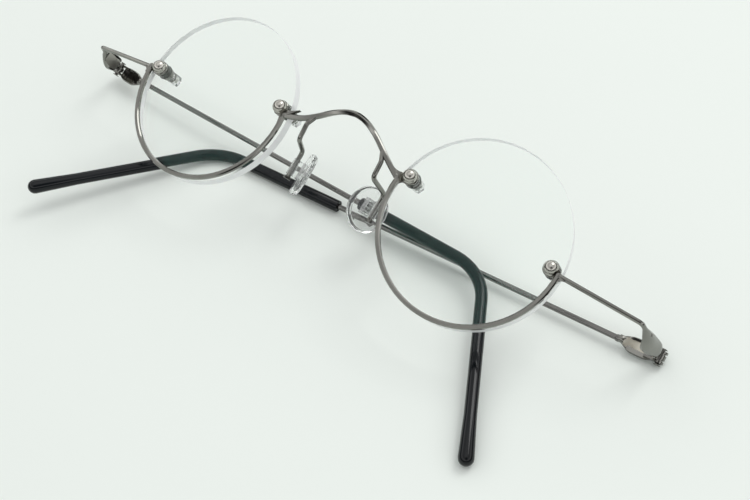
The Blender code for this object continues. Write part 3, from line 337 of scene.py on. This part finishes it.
def hinge_frame(side):
    """The hinge's rest axes: X along the folded temple and Z up the pin."""
    up = Vector((-side * sin(HINGE_LEAN), 0.0, cos(HINGE_LEAN)))
    along = Matrix.Rotation(side * FOLD_ANGLE[side], 3, up) @ Vector((0.0, 1.0, 0.0))
    across = up.cross(along)
    turn = Matrix((along, across, up)).transposed().to_4x4()
    return resting @ Matrix.Translation((side * HINGE_OUT, HINGE_BACK, -HINGE_DROP)) @ turn


def pad_frame(side):
    """The pad's pivot: Y points from the bar through the pad, and Z up the bar."""
    toward = Vector((-side * cos(PAD_SPLAY), sin(PAD_SPLAY), 0.0))
    up = Vector((0.0, 0.0, 1.0))
    turn = Matrix((toward.cross(up), toward, up)).transposed().to_4x4()
    return resting @ Matrix.Translation((side * PAD_BAR_OUT, PAD_BAR_BACK, 0.0)) @ turn


def wire_frame(side, distance):
    """A place on the temple wire: X along it, away from the hinge."""
    droop = Matrix.Rotation(WIRE_DROOP[side], 4, "Y")
    offset = Matrix.Translation((0.0, side * WIRE_INSET, -WIRE_DROP))
    return hinge_frame(side) @ offset @ droop @ Matrix.Translation((distance, 0.0, 0.0))


def shader_nodes(name):
    """A new material with its node tree and its Principled shader."""
    made = bpy.data.materials.new(name)
    made.use_nodes = True
    tree = made.node_tree
    return made, tree, tree.nodes["Principled BSDF"]


def add_node(tree, kind, **values):
    """A shader node with some of its inputs or settings given."""
    node = tree.nodes.new(kind)
    for key, value in values.items():
        if key in node.inputs:
            node.inputs[key].default_value = value
        else:
            setattr(node, key, value)
    return node


def noise(tree, scale, detail=4.0, stretch=(1.0, 1.0, 1.0)):
    """Noise over the object's own coordinates."""
    place = add_node(tree, "ShaderNodeTexCoord")
    mapping = add_node(tree, "ShaderNodeMapping", Scale=stretch)
    tree.links.new(place.outputs["Object"], mapping.inputs["Vector"])
    made = add_node(tree, "ShaderNodeTexNoise", Scale=scale, Detail=detail)
    tree.links.new(mapping.outputs["Vector"], made.inputs["Vector"])
    return made.outputs["Fac"]


def ramp(tree, source, low, high, places=(0.3, 0.7)):
    """A colour that goes from one to another while the source goes between two places."""
    made = add_node(tree, "ShaderNodeValToRGB")
    for stop, place, colour in zip(made.color_ramp.elements, places, (low, high)):
        stop.position = place
        stop.color = (*colour, 1.0)
    tree.links.new(source, made.inputs["Fac"])
    return made.outputs["Color"]


def remap(tree, source, inside=(0.0, 1.0), outside=(0.0, 1.0), smooth=False):
    """A value that goes between the outside limits while the source goes between the inside ones."""
    made = add_node(tree, "ShaderNodeMapRange", interpolation_type="SMOOTHSTEP" if smooth else "LINEAR")
    made.inputs["From Min"].default_value = inside[0]
    made.inputs["From Max"].default_value = inside[1]
    made.inputs["To Min"].default_value = outside[0]
    made.inputs["To Max"].default_value = outside[1]
    tree.links.new(source, made.inputs["Value"])
    return made.outputs["Result"]


def product(tree, first, second):
    """Two values multiplied."""
    made = add_node(tree, "ShaderNodeMath", operation="MULTIPLY")
    tree.links.new(first, made.inputs[0])
    tree.links.new(second, made.inputs[1])
    return made.outputs["Value"]


def bump(tree, shader, source, strength, distance):
    """Surface relief from a value."""
    made = add_node(tree, "ShaderNodeBump", Strength=strength, Distance=distance)
    tree.links.new(source, made.inputs["Height"])
    tree.links.new(made.outputs["Normal"], shader.inputs["Normal"])


def metal_finish(name, dark, light, roughness, grain):
    """Plated metal: slight colour drift, brushed roughness and fine scratches."""
    made, tree, shader = shader_nodes(name)
    shader.inputs["Metallic"].default_value = 1.0
    drift = noise(tree, METAL_DRIFT_SCALE)
    tree.links.new(ramp(tree, drift, dark, light), shader.inputs["Base Color"])
    fine = noise(tree, GRAIN_SCALE, GRAIN_DETAIL, GRAIN_STRETCH)
    tree.links.new(remap(tree, fine, outside=roughness), shader.inputs["Roughness"])
    bump(tree, shader, fine, grain, GRAIN_DEPTH)
    return made


def clear_finish(name, colour, roughness, relief, scale, clearness):
    """Clear moulded plastic or silicone, with faint flow marks."""
    made, tree, shader = shader_nodes(name)
    shader.inputs["Base Color"].default_value = (*colour, 1.0)
    shader.inputs["Transmission Weight"].default_value = clearness
    shader.inputs["IOR"].default_value = CLEAR_IOR
    marks = noise(tree, scale)
    tree.links.new(remap(tree, marks, outside=roughness), shader.inputs["Roughness"])
    bump(tree, shader, marks, relief, MARK_DEPTH)
    return made


def tip_finish():
    """Glossy near-black plastic with a faint cold depth."""
    made, tree, shader = shader_nodes("tip_gloss")
    drift = noise(tree, TIP_DRIFT_SCALE)
    tree.links.new(ramp(tree, drift, TIP_DARK, TIP_LIGHT), shader.inputs["Base Color"])
    fine = noise(tree, TIP_FINE_SCALE)
    tree.links.new(remap(tree, fine, outside=TIP_ROUGHNESS), shader.inputs["Roughness"])
    shader.inputs["Specular IOR Level"].default_value = TIP_SPECULAR
    bump(tree, shader, fine, TIP_RELIEF, TIP_RELIEF_DEPTH)
    return made


def beyond(tree, axis_frame, near, far):
    """A mask that rises from 0 to 1 between two distances from a frame's Y axis."""
    place = add_node(tree, "ShaderNodeTexCoord")
    offset = add_node(tree, "ShaderNodeVectorMath", operation="SUBTRACT")
    tree.links.new(place.outputs["Object"], offset.inputs[0])
    offset.inputs[1].default_value = axis_frame.translation
    across = add_node(tree, "ShaderNodeVectorMath", operation="CROSS_PRODUCT")
    tree.links.new(offset.outputs["Vector"], across.inputs[0])
    across.inputs[1].default_value = axis_frame.col[1].xyz
    reach = add_node(tree, "ShaderNodeVectorMath", operation="LENGTH")
    tree.links.new(across.outputs["Vector"], reach.inputs[0])
    return remap(tree, reach.outputs["Value"], inside=(near, far))


def lens_finish(name, side):
    """Clear coated lens faces, a ground edge that looks pale grey, and painted shade on the sides of the
    holes, dark like the metal behind.
    """
    made, tree, shader = shader_nodes(name)
    edge = beyond(tree, resting @ lens_plane(side), EDGE_FROM, EDGE_TO)
    hole_shades = [beyond(tree, screw_frame(side, label), HOLE_SHADE_FROM, HOLE_SHADE_TO) for label in SCREW_POINTS]
    free_of_hole_shade = product(tree, *hole_shades)
    # Painted shade: near a screw the lens takes the dark colour and lets no light through
    colour = add_node(tree, "ShaderNodeMix", data_type="RGBA")
    tree.links.new(free_of_hole_shade, colour.inputs["Factor"])
    colour.inputs["A"].default_value = (*HOLE_SHADE_COLOUR, 1.0)
    tree.links.new(ramp(tree, edge, LENS_COLOUR, EDGE_COLOUR, (0.0, 1.0)), colour.inputs["B"])
    tree.links.new(colour.outputs["Result"], shader.inputs["Base Color"])
    tree.links.new(remap(tree, edge, outside=(0.0, EDGE_ROUGHNESS)), shader.inputs["Roughness"])
    clearness = product(tree, free_of_hole_shade, remap(tree, edge, outside=(1.0, EDGE_CLEARNESS)))
    tree.links.new(clearness, shader.inputs["Transmission Weight"])
    shader.inputs["IOR"].default_value = LENS_IOR
    shader.inputs["Specular Tint"].default_value = (*LENS_TINT, 1.0)
    return made


def build_finishes():
    """Every finish but the lenses' own."""
    made = {key: metal_finish(*values) for key, values in METAL_FINISHES.items()}
    made.update({key: clear_finish(*values) for key, values in CLEAR_FINISHES.items()})
    made["tip"] = tip_finish()
    return made


def ease_edges(item, bevel):
    """Round the edges of a piece a little, or keep them crisp."""
    if bevel:
        edge = item.modifiers.new("eased_edges", "BEVEL")
        edge.width = bevel
        edge.segments = BEVEL_SEGMENTS
        edge.limit_method = "ANGLE"
        edge.angle_limit = BEVEL_ANGLE
        edge.harden_normals = True
        edge.use_clamp_overlap = True
    else:
        crisp = item.modifiers.new("crisp_edges", "EDGE_SPLIT")
        crisp.split_angle = CRISP_ANGLE


def dress(node, finish, bevel=0.0):
    """Give a CAD node its finish, smooth shading, and eased or crisp edges."""
    item = frame["nodes"][node]
    item.data.materials.clear()
    item.data.materials.append(finish)
    item.data.shade_smooth()
    weld = item.modifiers.new("weld", "WELD")
    weld.merge_threshold = WELD_DISTANCE
    ease_edges(item, bevel)


def dress_nodes(finishes):
    """Every CAD node's finish; light passes through a lens without a shadow or a patch on the table."""
    for name, item in frame["nodes"].items():
        if name.startswith("lens"):
            side = LEFT if name.endswith("left") else RIGHT
            dress(name, lens_finish(name + "_coated", side))
            item.visible_shadow = False
            item.visible_diffuse = False
            continue
        own = [values for start, values in NODE_FINISHES.items() if name.startswith(start)]
        finish, bevel = own[0] if own else ("gunmetal", 0.0)
        dress(name, finishes[finish], bevel)


def skin(rings, closed=False):
    """A new mesh over a row of rings; its ends are capped, or joined to each other."""
    mesh = bmesh.new()
    rows = [[mesh.verts.new(point) for point in ring] for ring in rings]
    pairs = list(zip(rows, rows[1:]))
    if closed:
        pairs.append((rows[-1], rows[0]))
    for first, second in pairs:
        count = max(len(first), len(second))
        for index in range(count):
            following = (index + 1) % count
            if len(first) == 1:
                mesh.faces.new((first[0], second[index], second[following]))
            elif len(second) == 1:
                mesh.faces.new((first[index], first[following], second[0]))
            else:
                mesh.faces.new((first[index], first[following], second[following], second[index]))
    if not closed:
        for end in (rows[0], rows[-1]):
            if len(end) > 2:
                mesh.faces.new(end)
    return mesh


def lathe(profile, segments, closed=False, flats=0):
    """A turned body about Y from (radius, depth) pairs; flats cut straight sides round all but its bore."""
    rings = []
    for radius, depth in profile:
        if radius == 0.0:
            rings.append([Vector((0.0, depth, 0.0))])
            continue
        ring = []
        for step in range(segments):
            turn = 2.0 * pi * step / segments
            reach = radius
            if flats and radius > FLATS_FROM:
                within = (turn % (2.0 * pi / flats)) - pi / flats
                reach = radius * cos(pi / flats) / cos(within)
            ring.append(Vector((reach * cos(turn), depth, reach * sin(turn))))
        rings.append(ring)
    return skin(rings, closed)


def add_mesh(target, extra):
    """Move one mesh into another, as a shell of its own."""
    carried = bpy.data.meshes.new("carried")
    extra.to_mesh(carried)
    extra.free()
    target.from_mesh(carried)
    bpy.data.meshes.remove(carried)


def add_piece(name, mesh_data, place, body, finish):
    """A new piece of the scene, placed in the world and riding on a body."""
    mesh_data.transform(place)
    bmesh.ops.recalc_face_normals(mesh_data, faces=mesh_data.faces)
    mesh = bpy.data.meshes.new(name)
    mesh_data.to_mesh(mesh)
    mesh_data.free()
    mesh.materials.append(finish)
    mesh.shade_smooth()
    made = bpy.data.objects.new(name, mesh)
    bpy.context.scene.collection.objects.link(made)
    ease_edges(made, 0.0)
    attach(made, body)
    return made


def plain_ring(inner, outer, near, far):
    """The profile of a ring with sharp edges."""
    return [(inner, near), (outer, near), (outer, far), (inner, far)]


def eased_ring(inner, outer, near, far):
    """The profile of a ring with eased outer edges."""
    return [
        (inner, near), (outer - EDGE_EASE, near), (outer, near + EDGE_EASE),
        (outer, far - EDGE_EASE), (outer - EDGE_EASE, far), (inner, far),
    ]


def ball_profile():
    """The ball-headed screw: most of a ball, seated on its lug, and the shank behind it."""
    last = acos((BALL_CENTRE - LUG_FRONT) / BALL_RADIUS)
    profile = []
    for step in range(BALL_STEPS + 1):
        turn = last * step / BALL_STEPS
        profile.append((BALL_RADIUS * sin(turn), BALL_CENTRE - BALL_RADIUS * cos(turn)))
    return profile + [
        (SHANK_RADIUS, LUG_FRONT), (SHANK_RADIUS, SHANK_END - SHANK_EASE),
        (SHANK_RADIUS - SHANK_EASE, SHANK_END), (0.0, SHANK_END),
    ]


def cap_profile():
    """The clear cap: a bore for the screw's end, and a rounded back."""
    inside = SHANK_END + CAP_ROOM
    bore = [(0.0, inside), (SHANK_FIT, inside), (SHANK_FIT, NUT_BACK)]
    front = [(CAP_RADIUS - EDGE_EASE, NUT_BACK), (CAP_RADIUS, NUT_BACK + EDGE_EASE)]
    back = [(CAP_RADIUS - inset, CAP_BACK - before) for inset, before in CAP_ROUNDING]
    return bore + front + back + [(0.0, CAP_BACK)]


def build_screw_set(side, label, finishes):
    """The ball, collar, washer, clear sleeve and clear cap of one lens point, fine enough to look at."""
    place = screw_frame(side, label)
    end = f"{label}_{SIDE_NAMES[side]}"

    def add(name, mesh, finish):
        """One piece of this set, which rides on the front."""
        return add_piece(f"{name}_{end}", mesh, place, "front", finishes[finish])

    ball = add("ball_head", lathe(ball_profile(), BALL_SEGMENTS), "bright")
    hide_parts(f"ball_screw_{end}")
    collar = plain_ring(BOSS_RADIUS, COLLAR_RADIUS, LUG_BACK, LENS_BACK - EDGE_EASE)
    add("boss_collar", lathe(collar, COLLAR_SEGMENTS, closed=True), "gunmetal")
    washer = eased_ring(SHANK_FIT, FLANGE_RADIUS, LENS_BACK, WASHER_BACK)
    add("lens_washer", lathe(washer, COLLAR_SEGMENTS, closed=True), "gunmetal")
    sleeve = lathe(eased_ring(SHANK_FIT, SLEEVE_RADIUS, WASHER_BACK, NUT_FRONT), FLAT_SEGMENTS, True, FLATS)
    clear = add("spacer_sleeve", sleeve, "nylon")
    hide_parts(f"clear_sleeve_{end}")
    cap = lathe(cap_profile(), FLAT_SEGMENTS, flats=FLATS)
    hexagon = add("faceted_cap", cap, "nylon")
    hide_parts(f"end_cap_{end}")


def build_hinge_washers(side, finishes):
    """Washers that fill the gaps between the hinge's barrel and its two eyes."""
    word = SIDE_NAMES[side]
    for label, sign in (("upper", 1.0), ("lower", -1.0)):
        ring = plain_ring(PIN_RADIUS, HINGE_WASHER_RADIUS, sign * BARREL_HALF_HEIGHT, sign * EYE_NEAR)
        mesh = lathe(ring, HINGE_WASHER_SEGMENTS, closed=True)
        mesh.transform(Matrix.Rotation(pi / 2.0, 4, "X"))
        add_piece(f"hinge_washer_{label}_{word}", mesh, hinge_frame(side), f"temple_{word}",
                  finishes["gunmetal"])


def build_wire_ends(side, finishes):
    """What closes the temple's root and its tip round the wire."""
    word = SIDE_NAMES[side]
    temple = f"temple_{word}"
    along_x = Matrix.Rotation(-pi / 2.0, 4, "Z")
    ferrule = lathe(FERRULE_PROFILE, SMALL_SEGMENTS)
    ferrule.transform(along_x)
    add_piece(f"root_ferrule_{word}", ferrule, wire_frame(side, FERRULE_PLACE), temple,
              finishes["wire"])
    profile = plain_ring(WIRE_RADIUS, MOUTH_RADIUS, MOUTH_START, MOUTH_END)
    profile[0] = (WIRE_RADIUS, MOUTH_DISH)
    mouth = lathe(profile, SMALL_SEGMENTS, closed=True)
    mouth.transform(along_x)
    add_piece(f"tip_mouth_{word}", mouth, wire_frame(side, TIP_START), temple,
              finishes["tip"])


def build_rivet(side, finishes):
    """The small rivet mark on an end shell, set on the shell's own surface."""
    ahead, away, up = RIVET_PLACE
    front = frame["nodes"]["front_frame"]
    _, spot, normal, _ = front.closest_point_on_mesh(hinge_frame(side) @ Vector((ahead, side * away, up)))
    turn = normal.to_track_quat("-Y", "Z").to_matrix().to_4x4()
    rivet = lathe([(RIVET_RADIUS * share, depth) for share, depth in RIVET_PROFILE], SMALL_SEGMENTS)
    add_piece(f"shell_rivet_{SIDE_NAMES[side]}", rivet, Matrix.Translation(spot) @ turn, "front",
              finishes["gunmetal"])


def filled_section(half_depth, half_height, reach):
    """The part of an oval that a lining fills, out to an angle each way from the shell's outer side."""
    pairs = []
    for step in range(LINING_STEPS + 1):
        angle = reach * (2.0 * step / LINING_STEPS - 1.0)
        pairs.append((half_depth * LINING_FILL * cos(angle), half_height * LINING_FILL * sin(angle)))
    return pairs


def end_shell_rings(side):
    """The inner face of an end shell, in the wearer's frame, along the line from its arm to the pin."""
    hinge = resting.inverted() @ hinge_frame(side)
    corner = lens_plane(side) @ Vector((side * ARM_CORNER[0], ARM_CORNER[1], ARM_CORNER[2]))
    along = (hinge.translation - corner).normalized()
    pin = hinge.col[2].xyz
    outward = along.cross(pin).normalized() * side
    up = outward.cross(along).normalized() * side
    rings = []
    for before, drop, half_depth, half_height, hollow in END_SHELL:
        middle = hinge.translation - along * before - pin * drop
        shift = ARM_HALF_DEPTH - half_depth + SHELL_BULGE * hollow
        section = filled_section(half_depth, half_height, SHELL_REACH)
        rings.append([middle + outward * (x + shift) + up * y for x, y in section])
    return rings


def root_rings(side):
    """The inner face of a temple's root, in its hinge's axes."""
    rings = []
    for ahead, inset, drop, half_depth, half_height, reach in ROOT_LINING:
        section = filled_section(half_depth, half_height, reach)
        rings.append([Vector((ahead, side * (inset - x), y - drop)) for x, y in section])
    return rings


def build_linings(side, finishes):
    """The smooth inner faces of an end shell and of a temple's root: painted light on the shell's and on the
    left root's, which looks pale, and painted shade on the right root's.
    """
    word = SIDE_NAMES[side]
    shell = skin(end_shell_rings(side))
    add_piece(f"end_shell_lining_{word}", shell, resting, "front", finishes["leaf"])
    root = skin(root_rings(side))
    # Painted light on the left root's inside, painted shade on the right one's
    root_finish = finishes["painted_lit_root"] if side == LEFT else finishes["dark"]
    add_piece(f"root_lining_{word}", root, hinge_frame(side), f"temple_{word}", root_finish)


def pad_disc():
    """The pad's disc: crowned behind, and a raised rim round a thin plate in front."""
    crown = [(PAD_RADIUS - inset, PAD_BACK - before) for inset, before in PAD_CROWN]
    rim = [(PAD_RADIUS - inset, PAD_FRONT + behind) for inset, behind in PAD_RIM]
    disc = lathe(crown + rim, DISC_SEGMENTS)
    disc.transform(Matrix.Translation((0.0, 0.0, -PAD_CENTRE_DROP)))
    return disc


def keyhole_turns():
    """The angles of the points round the bar, even and clear of the axes."""
    return [2.0 * pi * (step + 0.5) / KEYHOLE_STEPS for step in range(KEYHOLE_STEPS)]


def keyhole_ring(up, inset):
    """The outline of the sleeve round the bar and of the web that joins it to the plate."""
    ring = []
    for turn in keyhole_turns():
        reach = SLEEVE_WALL_RADIUS - inset
        if sin(turn) > 0.0:
            web_side = (WEB_HALF_WIDTH - inset) / abs(cos(turn))
            web_end = (PLATE_BACK - WEB_SINK) / sin(turn)
            reach = max(reach, min(web_side, web_end))
        ring.append(Vector((reach * cos(turn), reach * sin(turn), up)))
    return ring


def bar_sleeve():
    """The clear sleeve that slides over the bar, with its web."""
    rings = [
        keyhole_ring(STEM_BOTTOM, SLEEVE_EASE),
        keyhole_ring(STEM_BOTTOM + SLEEVE_EASE, 0.0),
        keyhole_ring(STEM_TOP - SLEEVE_EASE, 0.0),
        keyhole_ring(STEM_TOP, SLEEVE_EASE),
    ]
    for up in (STEM_TOP, STEM_BOTTOM):
        rings.append([Vector((BAR_FIT * cos(turn), BAR_FIT * sin(turn), up)) for turn in keyhole_turns()])
    return skin(rings, closed=True)


def plate_bar(low, high):
    """One bar of the pad's plate: a box with its long edges cut."""
    middle = (low + high) / 2.0
    half = (high - low) / 2.0
    lengthwise = 0 if half.x > half.z else 2
    other = 2 - lengthwise
    rings = []
    for sign in (-1.0, 1.0):
        corners = []
        for first, second in ((1, 1), (-1, 1), (-1, -1), (1, -1)):
            beside = (half[other] * first, (half.y - RAIL_CUT) * second)
            above = ((half[other] - RAIL_CUT) * first, half.y * second)
            corners += [beside, above] if first * second > 0 else [above, beside]
        points = []
        for across, deep in corners:
            point = middle.copy()
            point[other] += across
            point.y += deep
            point[lengthwise] += half[lengthwise] * sign
            points.append(point)
        rings.append(points)
    return skin(rings)


def plate_boxes():
    """The plate's two rails and its ribs in front of the disc, as boxes: lowest and highest corners."""
    half = PLATE_HALF_WIDTH
    boxes = []
    for x in (-half, half - RAIL):
        boxes.append((Vector((x, PLATE_FRONT, STEM_BOTTOM)), Vector((x + RAIL, PLATE_BACK, STEM_TOP))))
    for step in range(PLATE_RIBS + 1):
        z = STEM_BOTTOM + (STEM_TOP - STEM_BOTTOM - RAIL) * step / PLATE_RIBS
        low_corner = Vector((-half + RIB_LAP, PLATE_FRONT + RIB_STEP_BACK, z))
        high_corner = Vector((half - RIB_LAP, PLATE_BACK, z + RIB_HEIGHT))
        boxes.append((low_corner, high_corner))
    return boxes


def build_pad(side, finishes):
    """A moulded silicone pad in place of the plain one, and its ribbed plate."""
    word = SIDE_NAMES[side]
    body = f"pad_{word}"
    mesh = bmesh.new()
    add_mesh(mesh, pad_disc())
    add_mesh(mesh, bar_sleeve())
    pad = add_piece(f"moulded_pad_{word}", mesh, pad_frame(side), body,
                    finishes["silicone"])
    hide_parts(f"nose_pad_{word}")
    mesh = bmesh.new()
    for low_corner, high_corner in plate_boxes():
        add_mesh(mesh, plate_bar(low_corner, high_corner))
    add_piece(f"pad_plate_{word}", mesh, pad_frame(side), body, finishes["ribs"])


def build_floor():
    """The pale table top."""
    mesh = bpy.data.meshes.new("table_top")
    half = FLOOR_SIZE / 2.0
    corners = [(-half, -half, 0.0), (half, -half, 0.0), (half, half, 0.0), (-half, half, 0.0)]
    mesh.from_pydata(corners, [], [(0, 1, 2, 3)])
    floor = bpy.data.objects.new("table_top", mesh)
    bpy.context.scene.collection.objects.link(floor)
    made, tree, shader = shader_nodes("table_finish")
    shaded = tuple(value * FLOOR_SHADE for value in FLOOR_COLOUR)
    drift = noise(tree, FLOOR_NOISE_SCALE)
    tree.links.new(ramp(tree, drift, shaded, FLOOR_COLOUR), shader.inputs["Base Color"])
    shader.inputs["Roughness"].default_value = FLOOR_ROUGHNESS
    shader.inputs["Specular IOR Level"].default_value = FLOOR_SPECULAR
    mesh.materials.append(made)


def build_window():
    """One soft square window light that faces the glasses."""
    data = bpy.data.lights.new("window", "AREA")
    data.shape = "RECTANGLE"
    data.size = WINDOW_SIZE
    data.size_y = WINDOW_SIZE
    data.energy = WINDOW_ENERGY
    data.color = WINDOW_COLOUR
    lamp = bpy.data.objects.new("window", data)
    bpy.context.scene.collection.objects.link(lamp)
    lamp.location = WINDOW_PLACE
    lamp.rotation_euler = (-WINDOW_PLACE).to_track_quat("-Z", "Y").to_euler()


def build_room():
    """A bright ceiling over a dark horizon, shaded where the viewer stands."""
    world = bpy.data.worlds.new("room")
    bpy.context.scene.world = world
    world.use_nodes = True
    tree = world.node_tree
    background = tree.nodes["Background"]
    place = add_node(tree, "ShaderNodeTexCoord")
    split = add_node(tree, "ShaderNodeSeparateXYZ")
    tree.links.new(place.outputs["Generated"], split.inputs["Vector"])
    bands = add_node(tree, "ShaderNodeValToRGB")
    # A new ramp has its two end stops already
    stops = bands.color_ramp.elements
    for height, _ in ROOM_BANDS[1:-1]:
        stops.new(height)
    for stop, (_, value) in zip(stops, ROOM_BANDS):
        stop.color = (value, value, value, 1.0)
    tree.links.new(split.outputs["Z"], bands.inputs["Fac"])
    viewer = add_node(tree, "ShaderNodeVectorMath", operation="DOT_PRODUCT")
    tree.links.new(place.outputs["Generated"], viewer.inputs[0])
    viewer.inputs[1].default_value = VIEWER_DIRECTION.normalized()
    limits = (cos(VIEWER_SPREAD), cos(VIEWER_CORE))
    shade = remap(tree, viewer.outputs["Value"], limits, (1.0, VIEWER_SHADE), smooth=True)
    shaded = add_node(tree, "ShaderNodeVectorMath", operation="SCALE")
    tree.links.new(bands.outputs["Color"], shaded.inputs[0])
    tree.links.new(shade, shaded.inputs["Scale"])
    tree.links.new(shaded.outputs["Vector"], background.inputs["Color"])
    background.inputs["Strength"].default_value = ROOM_STRENGTH


def build_camera():
    """The photograph's viewpoint."""
    data = bpy.data.cameras.new("camera")
    data.sensor_width = CAMERA_SENSOR
    data.lens = CAMERA_LENS
    data.clip_start = CAMERA_NEAR
    camera = bpy.data.objects.new("camera", data)
    bpy.context.scene.collection.objects.link(camera)
    forward = CAMERA_LOOK.normalized()
    right = forward.cross(CAMERA_UP).normalized()
    up = right.cross(forward)
    turn = Matrix((right, up, -forward)).transposed().to_4x4()
    camera.matrix_world = resting @ Matrix.Translation(CAMERA_PLACE) @ turn
    bpy.context.scene.camera = camera


bpy.context.scene.view_settings.view_transform = "Standard"
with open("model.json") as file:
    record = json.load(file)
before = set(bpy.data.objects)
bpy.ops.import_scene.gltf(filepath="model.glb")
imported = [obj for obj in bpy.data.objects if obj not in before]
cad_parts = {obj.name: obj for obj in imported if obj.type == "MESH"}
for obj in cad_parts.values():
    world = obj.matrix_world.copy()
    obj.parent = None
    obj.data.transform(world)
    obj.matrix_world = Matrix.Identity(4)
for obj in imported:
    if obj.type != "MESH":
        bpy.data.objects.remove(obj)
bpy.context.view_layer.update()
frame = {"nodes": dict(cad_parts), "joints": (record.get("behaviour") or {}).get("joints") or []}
resting = resting_matrix(frame["joints"])
build_camera()
build_floor()
build_room()
build_window()
finishes = build_finishes()
dress_nodes(finishes)
for side in (LEFT, RIGHT):
    for label in SCREW_POINTS:
        build_screw_set(side, label, finishes)
for side in (LEFT, RIGHT):
    build_hinge_washers(side, finishes)
    build_wire_ends(side, finishes)
    build_rivet(side, finishes)
    build_linings(side, finishes)
for side in (LEFT, RIGHT):
    build_pad(side, finishes)
